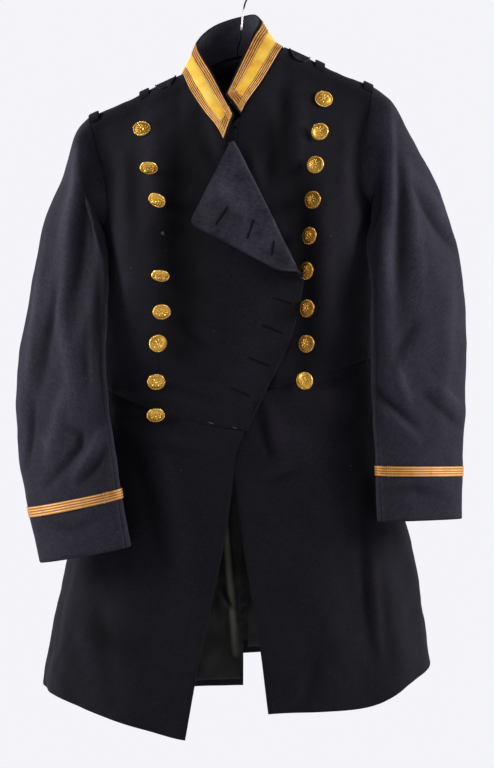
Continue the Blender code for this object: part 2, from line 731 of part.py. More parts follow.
def make_sleeves(cloth, lace):
    for side in (LEFT, RIGHT):
        sleeve = Sleeve(side)
        name = side_name(side)
        outer_line = sleeve.plain(np.linspace(6, sleeve.last, 60), 0.0)
        per_section = np.linalg.norm(np.diff(outer_line, axis=0), axis=-1).sum() / (sleeve.last - 6)
        lace_low = sleeve.last - CUFF_LACE_UP[side] / per_section
        lace_high = lace_low - CUFF_LACE / per_section
        upper = np.linspace(0, 1, 14) ** 0.92 * lace_high
        along = np.concatenate([upper, [lace_low, sleeve.last]])[:, None]
        turns = []
        for piece, first, last, columns in (
            ("under_sleeve", SLEEVE_SEAM_FRONT, SLEEVE_SEAM_BACK, 6),
            ("top_sleeve", SLEEVE_SEAM_BACK - 360, SLEEVE_SEAM_FRONT, 15),
        ):
            turn = np.linspace(first + SLEEVE_SEAM_TRIM, last - SLEEVE_SEAM_TRIM, columns + 1)[None, :]
            turns.append(turn)
            face, back = sleeve.point(along, turn), sleeve.point(along, turn, -SLEEVE_WALL)
            add_wall(f"{piece}_{name}", face, back, cloth)
        around = np.concatenate([turns[1], turns[0]], axis=1)
        levels = np.array([[lace_high], [lace_low]])
        face = sleeve.point(levels, around, SEAM + LACE_WALL)
        add_wall(f"cuff_lace_{name}", face, sleeve.point(levels, around, SEAM), lace, ring=True)


def neckline(share):
    """The neckline from the right front end round the back to the left front end."""
    samples = []
    for side, order in ((RIGHT, slice(None, None, -1)), (LEFT, slice(None))):
        low = front_angle(side, *np.array(NECK_FRONT[side][-1], float))[1]
        down = np.linspace(0, 1, 40)[order] ** 1.6 * low
        angle = NECK_CURVES[side](down)
        front = shell(side, angle, down, front_lift(side, angle, down))
        spread = np.linspace(0, 1, 30)
        shoulder = NECK_CURVES[side](0.0)
        angle = mix(180 - shoulder, 180.0, spread)
        behind = shell(side, angle, np.maximum(neck_back_down(side, angle), down_of(0.1)))
        part = [front[:-1], behind] if side == RIGHT else [behind[::-1][1:], front[1:]]
        samples.extend(part)
    line = np.concatenate(samples)
    steps = np.concatenate([[0], np.cumsum(np.linalg.norm(np.diff(line, axis=0), axis=-1))])
    return np.stack([np.interp(share * steps[-1], steps, line[:, i]) for i in range(3)], axis=-1)


class Collar:
    """The stand collar as a surface: a share round it and a share of its height."""

    def __init__(self):
        top = np.array(COLLAR_TOP, float)
        steps = np.concatenate([[0], np.cumsum(np.linalg.norm(np.diff(top, axis=0), axis=-1))])
        self.top = [through(steps / steps[-1], top[:, i]) for i in range(3)]

    def plain(self, share, up):
        base = neckline(share)
        top = np.stack([curve(share) for curve in self.top], axis=-1)
        start = base + unit(top - base) * COLLAR_SEAM
        swell = COLLAR_SWELL * np.sin(math.pi * up) * np.sin(math.pi * np.clip(share, 0, 1))
        line = mix(start, top, up[..., None])
        away = unit(line - np.array(COLLAR_MIDDLE)) * np.array([1.0, 1.0, 0.0])
        return line + away * swell[..., None]

    def point(self, share, up, out=0.0):
        share, up = np.broadcast_arrays(np.asarray(share, float), np.asarray(up, float))
        around = self.plain(np.minimum(share + 0.01, 1), up) - self.plain(np.maximum(share - 0.01, 0), up)
        rise = self.plain(share, np.minimum(up + 0.05, 1)) - self.plain(share, np.maximum(up - 0.05, 0))
        normal = unit(np.cross(rise, around))
        return self.plain(share, up) + normal * np.asarray(out)[..., None]


def make_collar(cloth, lace, field):
    """The collar, its facing field and the lace round it, which lie on the collar's own facets."""
    collar = Collar()
    between = np.linspace(COLLAR_ENDS[-1], 1 - COLLAR_ENDS[-1], COLLAR_SPANS + 1)
    ends = np.array(COLLAR_ENDS[:-1])
    share = np.concatenate([ends, between, 1 - ends[::-1]])[None, :]
    up = np.array(COLLAR_ROWS)[:, None]
    add_wall("collar", collar.point(share, up), collar.point(share, up, -COLLAR_WALL), cloth)
    share_gap, up_gap = 0.0005, 0.003
    last = share.shape[1] - 1
    strips = (
        ("collar_lace_top", 2, last - 2, 3, 4, lace),
        ("collar_lace_bottom", 2, last - 2, 1, 2, lace),
        ("collar_lace_end_right", 1, 2, 1, 4, lace),
        ("collar_lace_end_left", last - 2, last - 1, 1, 4, lace),
        ("collar_field", 2, last - 2, 2, 3, field),
    )
    for name, first, final, low, high, material in strips:
        columns, rows = share[:, first : final + 1].copy(), up[low : high + 1].copy()
        columns[0, 0] += share_gap
        columns[0, -1] -= share_gap
        rows[0, 0] += up_gap
        rows[-1, 0] -= up_gap
        add_wall(
            name, collar.point(columns, rows, SEAM + LACE_WALL), collar.point(columns, rows, SEAM), material
        )


def arched(v):
    """A loop's ends are sewn down and its middle arches, so a strap passes under it."""
    return LOOP_ARCH * (1 - v**4)


def shoulder_strip(side, place, half_width, reach, lift, columns, rows, pull=0.0):
    """Points of a small piece laid over the shoulder ridge, across the seam."""
    x_neck = NECK_MIDDLE + side * NECK_HALF
    x_end = SHELL_CURVES["middle"](0.0) + side * SHELL_CURVES["half"](0.0)
    middle = mix(x_neck, x_end, place)
    face, back = [], []
    for v in np.linspace(-1, 1, rows + 1):
        run = abs(v) * reach
        down = down_of(max(run, 0.02))
        half = half_width * (1 - pull + pull * math.sqrt(max(1 - v * v, 0.0)))
        x = middle + np.linspace(-half, half, columns + 1)
        share = side * (x - SHELL_CURVES["middle"](down)) / SHELL_CURVES["half"](down)
        angle = angle_for(np.clip(share, -0.999, 0.999), SHELL_CURVES["square"](down))
        angle = angle if v <= 0 else 180 - angle
        arch = lift(v)
        face.append(shell(side, angle, down, arch + TAPE_WALL))
        back.append(shell(side, angle, down, arch))
    return np.array(face), np.array(back)


def make_shoulder_pieces(cloth):
    for side in (LEFT, RIGHT):
        for where, place in LOOP_PLACES.items():
            end = LOOP_ENDS[where]
            face, back = shoulder_strip(
                side, place, LOOP_WIDTH / 2, LOOP_REACH, lambda v, end=end: end + arched(v), 1, 8
            )
            add_wall(f"loop_{where}_{side_name(side)}", face, back, cloth)
        face, back = shoulder_strip(
            side, PATCH_PLACE, PATCH_RADIUS, PATCH_REACH, lambda v: PATCH_LIFT, 4, 8, pull=PATCH_ROUND
        )
        add_wall(f"patch_{side_name(side)}", face, back, cloth)


def button_place(side, button):
    """Where a button's shank leaves the cloth, the middle of its back, and how the cloth and it face."""
    nod, turn = math.radians(button["nod"]), math.radians(button["turn"])
    facing = np.array([math.sin(turn) * math.cos(nod), -math.cos(turn) * math.cos(nod), math.sin(nod)])
    seen = np.array([button["x"], button["height"]])
    aim = seen.copy()
    for _ in range(8):
        angle, down = front_angle(side, *aim)
        seat = shell(side, angle, down, front_lift(side, angle, down))
        normal = shell_normal(side, angle, run_of(down))
        lean = math.acos(min(1.0, float(facing @ normal)))
        back = seat + normal * max(BUTTON_STAND, 1.0 + BUTTON_RADIUS * math.sin(lean))
        aim += seen - (back + facing * 2.0)[[0, 2]]
    return seat, back, normal, facing


def make_buttons(gilt):
    """Domed buttons on short shanks, each hanging at its own angle."""
    sides = 10
    turns = np.linspace(0, 2 * math.pi, sides, endpoint=False)
    across_the_view = np.array([1.0, 0.0, 0.0])
    shoulder = (BUTTON_RADIUS * 0.62, BUTTON_DOME * 0.81)
    dome = ((BUTTON_RADIUS - 0.7, 0.0), (BUTTON_RADIUS, BUTTON_RIM), shoulder)
    for side in (LEFT, RIGHT):
        for number, row in enumerate(BUTTONS[side], 1):
            seat, back, normal, facing = button_place(side, dict(zip(BUTTON_COLUMNS, row)))
            rings = []
            steps = [(seat, normal, SHANK_RADIUS, SEAM), (back, facing, SHANK_RADIUS * 1.25, -0.1)]
            steps += [(back, facing, *step) for step in dome]
            for centre, axis, radius, rise in steps:
                upward = unit(np.cross(across_the_view, axis))
                across = np.cross(axis, upward)
                ring = np.cos(turns)[:, None] * across + np.sin(turns)[:, None] * upward
                rings.append(centre + ring * radius + axis * rise)
            points = np.concatenate([*rings, [seat + normal * SEAM], [back + facing * BUTTON_DOME]])
            low, high = len(points) - 2, len(points) - 1
            faces = []
            for k in range(sides):
                n = (k + 1) % sides
                faces.append((low, n, k))
                for band in range(len(rings) - 1):
                    a, b = band * sides, (band + 1) * sides
                    faces.append((a + k, a + n, b + n, b + k))
                last = (len(rings) - 1) * sides
                faces.append((last + k, last + n, high))
            add_mesh(f"button_{side_name(side)}_{number}", points, faces, gilt)


def make_lining(silk):
    """The skirt lining, seen through the open fronts, inside the back of each skirt."""
    for side, last in LINING_END.items():

        def upper(angle, side=side):
            return WAIST_CURVES[side](angle) + LINING_BELOW_WAIST

        def lower(angle, side=side):
            return HEM_CURVES[side](angle) - LINING_ABOVE_HEM

        angle, down = grid_of(side, level(LINING_START), level(last), ((upper, lower, 8, 1.0),), 7)
        out = np.full_like(angle, -BODY_WALL - LINING_HANG)
        shell_wall(f"lining_{side_name(side)}", side, angle, down, out, silk, LINING_WALL)


def add_tube(name, path, radii_across, radii_up, material, sides=8):
    """A closed tube along a path that lies in the plane y = 0."""
    path = np.asarray(path, float)
    tangent = unit(np.gradient(path, axis=0))
    up = np.stack([-tangent[:, 2], np.zeros(len(path)), tangent[:, 0]], axis=-1)
    turns = np.linspace(0, 2 * math.pi, sides, endpoint=False)
    rings = (
        path[:, None, :]
        + (radii_across[:, None] * np.cos(turns))[..., None] * np.array([0.0, 1.0, 0.0])
        + (radii_up[:, None] * np.sin(turns))[..., None] * up[:, None, :]
    )
    faces = [tuple(range(sides)), tuple(reversed(range((len(path) - 1) * sides, len(path) * sides)))]
    for i in range(len(path) - 1):
        for k in range(sides):
            n = (k + 1) % sides
            faces.append((i * sides + n, i * sides + k, (i + 1) * sides + k, (i + 1) * sides + n))
    return add_mesh(name, rings.reshape(-1, 3), faces, material)


def make_hanger(wood, steel):
    """A plain shaped hanger inside the shoulders, and its wire hook."""
    xs = np.linspace(*HANGER_ENDS, 19)
    slant = math.cos(math.atan(SHOULDER_SLOPE[RIGHT]))
    under = (BODY_WALL + HANGER_CLEAR + HANGER_HALF_HEIGHT) / slant
    neck = np.clip((xs - NECK_MIDDLE) / NECK_HALF, -1, 1)
    heights = top_height(xs) - NECK_RISE * (1 - neck**2) - under + HANGER_NECK_RISE * ease(1 - np.abs(neck))
    path = np.stack([xs, np.zeros_like(xs), heights], axis=-1)
    thick = np.full(len(xs), HANGER_HALF_DEPTH)
    add_tube("hanger", path, thick, np.full(len(xs), HANGER_HALF_HEIGHT), wood, 10)

    seat = np.interp(HOOK_FOOT, xs, heights) + HANGER_HALF_HEIGHT + SEAM
    centre = WIRE - HOOK_RADIUS
    stem = [(HOOK_FOOT, seat), (HOOK_FOOT, seat + HOOK_UPRIGHT), *HOOK_STEM]
    turns = np.radians(np.arange(*HOOK_TURNS))
    arc = [(HOOK_RADIUS * math.cos(a), centre + HOOK_RADIUS * math.sin(a)) for a in turns]
    route = np.array(stem + arc)
    steps = np.concatenate([[0], np.cumsum(np.linalg.norm(np.diff(route, axis=0), axis=-1))])
    even = np.linspace(0, steps[-1], 34)
    wire = np.full(len(even), WIRE)
    xs, heights = through(steps, route[:, 0])(even), through(steps, route[:, 1])(even)
    add_tube("hook", np.stack([xs, np.zeros_like(even), heights], axis=-1), wire, wire, steel, 6)


def clear_scene():
    for old in list(bpy.data.objects):
        bpy.data.objects.remove(old)


def main():
    clear_scene()
    cloth = finish("navy wool broadcloth", (0.012, 0.012, 0.018), 0.85)
    lace = finish("gold lace", (0.52, 0.30, 0.09), 0.5, 0.5)
    field = finish("yellow silk facing", (0.86, 0.56, 0.12), 0.55)
    gilt = finish("gilt brass", (0.85, 0.56, 0.16), 0.3, 1.0)
    silk = finish("black silk lining", (0.016, 0.019, 0.013), 0.4)
    wood = finish("black hanger", (0.02, 0.02, 0.02), 0.5)
    steel = finish("chromed steel wire", (0.6, 0.6, 0.6), 0.15, 1.0)
    make_foreparts(cloth)
    make_side_bodies(cloth)
    make_backs(cloth)
    make_skirts(cloth)
    make_left_lapel(cloth)
    make_right_lapel(cloth)
    make_sleeves(cloth, lace)
    make_collar(cloth, lace, field)
    make_shoulder_pieces(cloth)
    make_buttons(gilt)
    make_lining(silk)
    make_hanger(wood, steel)


main()
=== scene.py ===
"""Looks of a double-breasted military dress coat that hangs on a plain hanger.

The wearer's left is +X and the front faces -Y, so a viewer in front sees the wearer's right on the left
hand. Lengths in the tables are millimetres, angles are degrees, and meshes are in metres.

Cloth lies on one shell: a point has a side, an angle round the body (0 is the front centre, 90 the side,
180 the back centre) and a distance down from the shoulder line. Sleeves and collar are surfaces of their
own. Each cloth piece is a closed thin wall with its seams rolled in and its creases laid one by one.
"""

import math

import bmesh
import bpy
import numpy as np
from bpy.props import FloatProperty, FloatVectorProperty, IntProperty, PointerProperty
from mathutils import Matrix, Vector
from mathutils.bvhtree import BVHTree


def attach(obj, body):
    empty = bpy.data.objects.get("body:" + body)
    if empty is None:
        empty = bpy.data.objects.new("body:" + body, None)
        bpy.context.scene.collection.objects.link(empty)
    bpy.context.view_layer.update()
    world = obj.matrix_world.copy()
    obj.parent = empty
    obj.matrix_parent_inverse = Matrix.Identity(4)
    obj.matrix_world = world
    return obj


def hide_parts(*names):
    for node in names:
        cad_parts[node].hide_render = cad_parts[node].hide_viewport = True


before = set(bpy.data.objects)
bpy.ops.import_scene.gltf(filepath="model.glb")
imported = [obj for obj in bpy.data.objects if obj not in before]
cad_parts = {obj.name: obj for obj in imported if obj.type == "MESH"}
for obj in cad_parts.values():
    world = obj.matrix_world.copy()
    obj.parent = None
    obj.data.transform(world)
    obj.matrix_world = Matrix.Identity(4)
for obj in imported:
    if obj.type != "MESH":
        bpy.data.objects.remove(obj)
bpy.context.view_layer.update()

bl_info = {
    "name": "Military dress coat",
    "version": (1, 0, 0),
    "blender": (4, 5, 0),
    "location": "View3D > Sidebar > Coat",
    "description": "Builds a double-breasted dress coat of wool broadcloth with gold lace and gilt buttons",
    "category": "Add Mesh",
}

MM = 0.001
LEFT = 1
RIGHT = -1

# Cloth
BODY_WALL = 2.2
COLLAR_WALL = 2.6
LINING_WALL = 1.0
SEAM = 0.3
PROBE = 0.4
TOP_LAYER = 4.6
TOP_LAYER_ANGLES = (62.0, 28.0)
TOP_LAYER_DOWN = 90.0
BACK_LAYER = 3.4
BACK_LAYER_FROM, BACK_LAYER_FADE = 396.0, 40.0
VENT_FROM, VENT_FADE = 171.0, 6.0

# Shoulder line, from the neck to the shoulder point, each side at its own height: the coat hangs askew
NECK_MIDDLE = -6.4
NECK_HALF = 65.3
NECK_RISE = 40.0
NECK_HEIGHT = {LEFT: -100.0, RIGHT: -134.5}
SHOULDER_SLOPE = {LEFT: 0.453, RIGHT: 0.467}
RIDGE = 22.0
ROUND_FROM = 190.0
# How bluntly the shell tapers to its sides, and the most of its breadth at which an angle is looked for
TAPER_BLUNT = 1.5
MOST_SHARE = 0.999
HALVINGS = 40
CHEST_DOWN = 228.0
CHEST_HEIGHT = -345.0
ASKEW = 0.106
ARMPIT_DOWN = 214.0
BACK_NECK_DOWN = 24.0

# The shell, one row for each level
SHELL_COLUMNS = ("down", "middle", "half", "front", "back", "taper", "square")
SHELL = (
    (0, -9.0, 180.5, 0, 0, 0.80, 0.17),
    (26, -8.5, 180, 9, 22, 0.80, 0.17),
    (66, -7.5, 178, 35, 41, 0.60, 0.17),
    (110, -6.0, 175, 61, 52, 0.35, 0.16),
    (150, -5.0, 173, 74, 59, 0.15, 0.15),
    (228, -2.5, 173, 82, 64, 0.0, 0.13),
    (330, -2.5, 171, 76, 52, 0.0, 0.11),
    (420, -1.5, 170, 66, 40, 0.0, 0.09),
    (520, -2.0, 184.5, 70, 54, 0.0, 0.08),
    (620, -2.0, 210.5, 78, 66, 0.0, 0.07),
    (700, -3.0, 227.5, 84, 72, 0.0, 0.06),
    (780, -4.0, 240.5, 90, 78, 0.0, 0.06),
    (880, -4.5, 250, 95, 84, 0.0, 0.06),
)

# Broad folds of the hanging cloth: where each starts and ends, how wide it is and how far it stands out
FOLD_COLUMNS = ("side", "top", "bottom", "angle_top", "angle_bottom", "width", "height")
BODY_FOLDS = (
    (RIGHT, 430, 900, 62, 66, 13, 7.0),
    (RIGHT, 450, 900, 40, 34, 10, 4.5),
    (RIGHT, 440, 900, 96, 100, 15, 8.0),
    (RIGHT, 430, 900, 128, 126, 14, 8.0),
    (LEFT, 430, 900, 50, 56, 11, 6.0),
    (LEFT, 470, 900, 30, 27, 9, 4.0),
    (LEFT, 440, 900, 84, 88, 15, 8.0),
    (LEFT, 430, 900, 126, 124, 14, 8.0),
    (RIGHT, 120, 330, 48, 40, 12, 4.5),
    (LEFT, 110, 330, 50, 46, 12, 3.5),
    (RIGHT, 60, 300, 146, 142, 16, 4.0),
    (LEFT, 60, 300, 146, 142, 16, 4.0),
)

# Folds that go on to the hem only grow from their top; the others grow and fade at both ends
FOLD_GROWTH = 2.2
HEM_REACHED = 800
FOLD_ENDS = 3

# Edges of the pieces, as points (x, height) seen from the front, top to bottom
NECK_FRONT = {
    RIGHT: ((-71.7, -134.5), (-60.8, -159.0), (-41.3, -192.0), (-17.1, -231.0)),
    LEFT: ((58.9, -100.0), (47.0, -121.5), (30.4, -151.0), (4.0, -195.0)),
}
LAPEL_SEAM = {
    RIGHT: ((-12.0, -290), (-8.5, -364), (-15.7, -432), (-24.0, -506), (-35.4, -580), (-38.6, -600)),
    LEFT: ((2.0, -270), (8.0, -364), (16.0, -450), (28.0, -520), (34.0, -560), (37.2, -580)),
}
FRONT_EDGE = {
    RIGHT: (
        (78.2, -407), (73.4, -432), (58.5, -482), (33.8, -531), (11.5, -581), (-2.1, -618),
        (-7.1, -661), (-15.7, -723), (-30.6, -797), (-46.6, -871), (-65.2, -975),
    ),
    LEFT: (
        (-40, -240), (-70, -300), (-72, -400), (-55, -480), (-32, -545), (-14, -610),
        (-4.6, -661), (9.6, -748), (26.2, -847), (38.7, -945),
    ),
}
ARMHOLE_COLUMNS = ("down", "front", "back")
ARMHOLE = (
    (0, 82.5, 97.5),
    (26, 77.0, 104.0),
    (66, 70.5, 112.0),
    (110, 65.0, 118.0),
    (150, 63.5, 119.0),
    (190, 71.5, 109.0),
    (214, 89.6, 90.4),
)
SIDE_SEAM = ((214, 90.0), (250, 94.0), (420, 96.0))
BACK_SEAM = ((150, 119.0), (190, 128.0), (240, 141.0), (320, 157.0), (386, 165.0))
BACK_SKIRT_EDGE = ((386, 165.0), (520, 163.5), (700, 161.0), (880, 159.0))
PLEAT_UNDERLAP = 4.5
VENT_LAP = {LEFT: 183.0, RIGHT: 182.4}
ARMHOLE_SPAN = 154.0

# Waist seam and hem: the distance down at angles round each side
WAIST_ANGLES = (-16, 0, 32, 70, 110, 166)
WAIST = {RIGHT: (479, 470, 437, 404, 394, 388), LEFT: (440, 432, 414, 400, 392, 386)}
HEM_ANGLES = (-16, 14, 25, 42, 62, 77, 90, 120, 150, 184)
HEM = {
    RIGHT: (850, 844, 828, 805, 784, 776, 773, 783, 800, 812),
    LEFT: (823, 825, 829, 831, 812, 803, 797, 788, 776, 768),
}

# The corner of the right lapel, turned back along a slanting fold
FOLD_TOP = (-8.4, -233.5)
FOLD_END = (76.0, -404.5)
FLAP_CORNER_ALONG = 68.5
FLAP_CORNER_OUT = 88.0
FLAP_LEAST = 3.0
FLAP_SOFT = 5.0
FOLD_OPEN = 0.8
FOLD_RADIUS = 3.2
FOLD_FADE = 32.0
LAPEL_SEAM_CLEAR = 0.38
LAPEL_EDGE = 0.45
FLAP_CURL = 11.0

# Sleeves: the centre of each section, its half breadth as seen from the front, its half depth, how far
# the outer end rises over the inner one, and how far the inner end swings forward
SLEEVE_COLUMNS = ("x", "y", "height", "breadth", "depth", "rise", "swing")
SLEEVES = {
    RIGHT: (
        (-195, -3, -276, 66, 54, 79, 0),
        (-199, -14, -316, 55, 50, 62, 16),
        (-207, -33, -354, 50, 42, 34, 30),
        (-215.2, -41, -424, 51, 42, 8, 30),
        (-221.8, -50, -487, 55.5, 40, 2, 27),
        (-221.8, -59, -550, 60, 38, -3, 22),
        (-214.5, -73, -612, 62.5, 34, -7, 20),
        (-203, -86, -675, 60.5, 29, -10, 18),
        (-189, -96, -741, 58.8, 24, -11, 16),
    ),
    LEFT: (
        (186.5, -3, -243, 70, 54, 79, 0),
        (201.5, -13, -282, 57.5, 50, 60, 16),
        (212.7, -29, -323, 56.5, 43, 32, 28),
        (227.5, -38, -398, 60.5, 43, 8, 28),
        (229.5, -46, -474, 62, 40, 3, 25),
        (228.5, -51, -550, 60.3, 38, 1, 20),
        (227.8, -60, -612, 56.8, 33, 1, 18),
        (227.5, -66, -660, 55, 28, 1, 16),
        (227.3, -72, -700, 54, 23, 1, 15),
    ),
}
SLEEVE_SEAM_FRONT = 148.0
SLEEVE_SEAM_BACK = 262.0
# Broad sleeve creases: the first and last section that each crosses, its place round the sleeve
CREASE_COLUMNS = ("first", "last", "angle_first", "angle_last", "width", "height")
SLEEVE_FOLDS = {
    RIGHT: ((0.6, 5.2, 66, 40, 15, 5.5), (1.0, 5.6, 100, 84, 14, -5.0), (2.4, 7.2, 15, 30, 13, 4.0)),
    LEFT: ((0.6, 5.6, 64, 46, 15, 5.5), (1.2, 6.2, 98, 90, 14, -4.5), (3.0, 7.0, 20, 62, 12, 3.5)),
}
CUFF_LACE_UP = {LEFT: 66.0, RIGHT: 58.0}
CUFF_LACE = 13.5
ARMHOLE_GAP = 1.4
ARMHOLE_HALF_DEPTH = 48.0
ARMHOLE_BLEND = 2.2
SWING_MOST = 0.75
SLEEVE_TURN_STEP, SLEEVE_ALONG_STEP = 1.5, 0.04

# Collar: points (x, y, height) of its top edge, from the right front end round the back to the left one
COLLAR_TOP = (
    (-5, -84, -194), (-31, -37, -137), (-50, -5, -99), (-51, 12, -87), (-42.5, 26, -75), (-29, 38, -64.5),
    (-10.5, 46, -56.5), (6, 46, -52.5), (21.5, 38, -51), (28, 26, -57), (17, -2, -86), (5, -28, -116),
    (-15, -71, -167),
)
# Shares of the collar's height where its lower and upper lace begin and end, and of its length at the ends
COLLAR_ROWS = (0.0, 0.02, 0.28, 0.66, 0.93, 1.0)
COLLAR_ENDS = (0.0, 0.006, 0.042)
COLLAR_SEAM = 0.9
COLLAR_SWELL = 2.0
COLLAR_MIDDLE = (-10.0, -8.0, -110.0)
COLLAR_PROBES = (0.01, 0.05)
NECK_SAMPLES, NECK_CROWDING, NECK_BACK_SAMPLES = 40, 1.6, 30

LINING_START = 150.0
LINING_END = {LEFT: 176.2, RIGHT: 181.6}
LINING_HANG = 1.6
LINING_BELOW_WAIST = 8.0
LINING_ABOVE_HEM = 9.0

BUTTON_RADIUS = 11.1
# Buttons: x and height of each, how far its face nods up and turns to the wearer's left
BUTTON_COLUMNS = ("x", "height", "nod", "turn")
BUTTONS = {
    RIGHT: (
        (-121.0, -208.0, 30, -6), (-110.5, -262.7, -44, -4), (-100.0, -303.7, -36, -26),
        (-95.5, -397.4, -46, -8), (-93.9, -441.5, -30, 6), (-98.5, -480.0, -16, 14),
        (-101.2, -528.0, -24, 4), (-101.8, -569.5, -34, 6),
    ),
    LEFT: (
        (108.5, -170.0, 18, 6), (102.0, -214.5, 10, -20), (95.8, -257.5, 8, -24), (92.0, -302.0, 4, -32),
        (87.7, -346.8, 2, -44), (84.0, -390.0, 2, -46), (85.0, -436.2, 2, -42), (84.5, -480.0, 2, -34),
        (82.5, -526.0, -8, -24),
    ),
}
# How far a button's back stands out, how far its rim stays off the cloth, how far its middle lies before its
# back, and rounds of search for the place where it is sewn on
BUTTON_STAND = 3.4
BUTTON_CLEAR = 1.0
BUTTON_MIDDLE = 2.0
AIM_ROUNDS = 8
BUTTON_DOME = 3.7

# Shoulder loops and patches for epaulettes, as shares of the shoulder line from the neck outwards, and
# how far the ends of each loop lie over the smooth shell
LOOP_PLACES = {"inner": 0.40, "outer": 0.945}
LOOP_ENDS = {"inner": -0.4, "outer": 0.3}
LOOP_WIDTH = 12.0
LOOP_REACH = 21.0
LOOP_ARCH = 2.6
TAPE_WALL = 1.2
PATCH_PLACE = 0.17
PATCH_RADIUS = 13.0
PATCH_REACH = 15.0
PATCH_ROUND = 0.72
PATCH_LIFT = 0.8

HOOK_RADIUS = 21.6
WIRE = 1.6
# The hook's wire: x of its foot, how far it stands straight, then points (x, height) up to the bend
HOOK_FOOT = -1.0
HOOK_UPRIGHT = 12.0
HOOK_STEM = ((2.0, -92.0), (4.6, -73.0), (6.4, -56.0), (10.2, -40.0))
HOOK_TURNS = (-14, 200, 12)
HANGER_ENDS = (-172.0, 155.0)
HANGER_HALF_HEIGHT = 7.0
HANGER_HALF_DEPTH = 11.5
HANGER_CLEAR = 1.4
HANGER_NECK_RISE = 6.0


def through(xs, ys):
    """A smooth curve through the points of a table column."""
    xs, ys = np.array(xs, float), np.array(ys, float)
    slopes = np.gradient(ys, xs)

    def value(x):
        x = np.clip(x, xs[0], xs[-1])
        i = np.clip(np.searchsorted(xs, x, side="right") - 1, 0, len(xs) - 2)
        step = xs[i + 1] - xs[i]
        t = (x - xs[i]) / step
        return (
            (1 + 2 * t) * (1 - t) ** 2 * ys[i]
            + t * (1 - t) ** 2 * step * slopes[i]
            + t * t * (3 - 2 * t) * ys[i + 1]
            + t * t * (t - 1) * step * slopes[i + 1]
        )

    return value


def columns_of(names, rows, along):
    """Each named column of a table as a smooth curve along one of them."""
    table = {name: [row[i] for row in rows] for i, name in enumerate(names)}
    return {name: through(table[along], column) for name, column in table.items()}


def ease(t):
    t = np.clip(t, 0, 1)
    return t * t * (3 - 2 * t)


def mix(a, b, t):
    return a + (b - a) * t


def unit(v):
    return v / np.linalg.norm(v, axis=-1, keepdims=True)


def bell(x, width):
    return np.exp(-((x / width) ** 2))


def steps_of(line):
    """How far along a line each of its points lies."""
    return np.concatenate([[0], np.cumsum(np.linalg.norm(np.diff(line, axis=0), axis=-1))])


def named(piece, side):
    """The name of a piece on one side."""
    return f"{piece}_{'left' if side == LEFT else 'right'}"


SHELL_CURVES = columns_of(SHELL_COLUMNS, SHELL, "down")


def top_height(x):
    """Height of the shoulder line above x, with the neck's rise in the middle."""
    x = np.asarray(x, float)
    place = np.clip((x - NECK_MIDDLE) / NECK_HALF, -1, 1)
    line = mix(NECK_HEIGHT[RIGHT], NECK_HEIGHT[LEFT], (place + 1) / 2)
    beyond = np.maximum(np.abs(x - NECK_MIDDLE) - NECK_HALF, 0)
    slope = np.where(x > NECK_MIDDLE, SHOULDER_SLOPE[LEFT], SHOULDER_SLOPE[RIGHT])
    return line + NECK_RISE * (1 - place**2) - slope * beyond


def chest_height(x):
    return CHEST_HEIGHT + ASKEW * x


def height_at(x, down):
    share = np.clip(down / CHEST_DOWN, 0, 1)
    return mix(top_height(x), chest_height(x), share) - np.maximum(down - CHEST_DOWN, 0)


def down_at(x, height):
    """The distance down of a point seen at x and this height."""
    top, chest = top_height(x), chest_height(x)
    above = CHEST_DOWN * (top - height) / (top - chest)
    return np.where(height > chest, above, CHEST_DOWN + chest - height)


def run_of(down):
    """Distance along the cloth over the shoulder's rounded ridge, from the distance down."""
    down = np.asarray(down, float)
    over = RIDGE * np.arccos(np.clip(1 - down / RIDGE, -1, 1))
    return np.where(down < RIDGE, over, RIDGE * math.pi / 2 + down - RIDGE)


def down_of(run):
    run = np.asarray(run, float)
    quarter = RIDGE * math.pi / 2
    over = RIDGE * (1 - np.cos(np.minimum(run, quarter) / RIDGE))
    return np.where(run < quarter, over, RIDGE + run - quarter)


def breadth_share(angle, square):
    a = np.radians(angle)
    return np.sin(a) * (1 + square * np.cos(a) ** 2)


def angle_for(share, square):
    """The angle, -90 to 90, where the section reaches this share of its half width."""
    low, high = np.full(np.shape(share), -90.0), np.full(np.shape(share), 90.0)
    for _ in range(HALVINGS):
        middle = (low + high) / 2
        under = breadth_share(middle, square) < share
        low, high = np.where(under, middle, low), np.where(under, high, middle)
    return (low + high) / 2


def bare_shell(side, angle, run):
    """The shell without folds: an upright tube below the arms, open over them, rounded at the shoulder."""
    down = down_of(run)
    curve = {name: column(down) for name, column in SHELL_CURVES.items()}
    a = np.radians(angle)
    share = breadth_share(angle, curve["square"])
    x = curve["middle"] + side * curve["half"] * share
    ridge = RIDGE * np.sin(np.minimum(np.asarray(run, float) / RIDGE, math.pi / 2))
    front = np.cos(a) >= 0
    swell = np.where(front, curve["front"], curve["back"])
    swell = swell * (1 - curve["taper"] * np.abs(share) ** TAPER_BLUNT)
    round_side = np.abs(np.cos(a)) * (1 + curve["square"] * np.sin(a) ** 2)
    depth = (ridge + swell) * mix(1.0, round_side, ease(down / ROUND_FROM))
    return np.stack([x, np.where(front, -depth, depth), height_at(x, down)], axis=-1)


def shell_normal(side, angle, run):
    across = bare_shell(side, angle + PROBE, run) - bare_shell(side, angle - PROBE, run)
    along = bare_shell(side, angle, run + PROBE) - bare_shell(side, angle, np.maximum(run - PROBE, 0))
    return unit(side * np.cross(along, across))


def rising_and_falling(t):
    return ease(t * FOLD_ENDS) * ease((1 - t) * FOLD_ENDS)


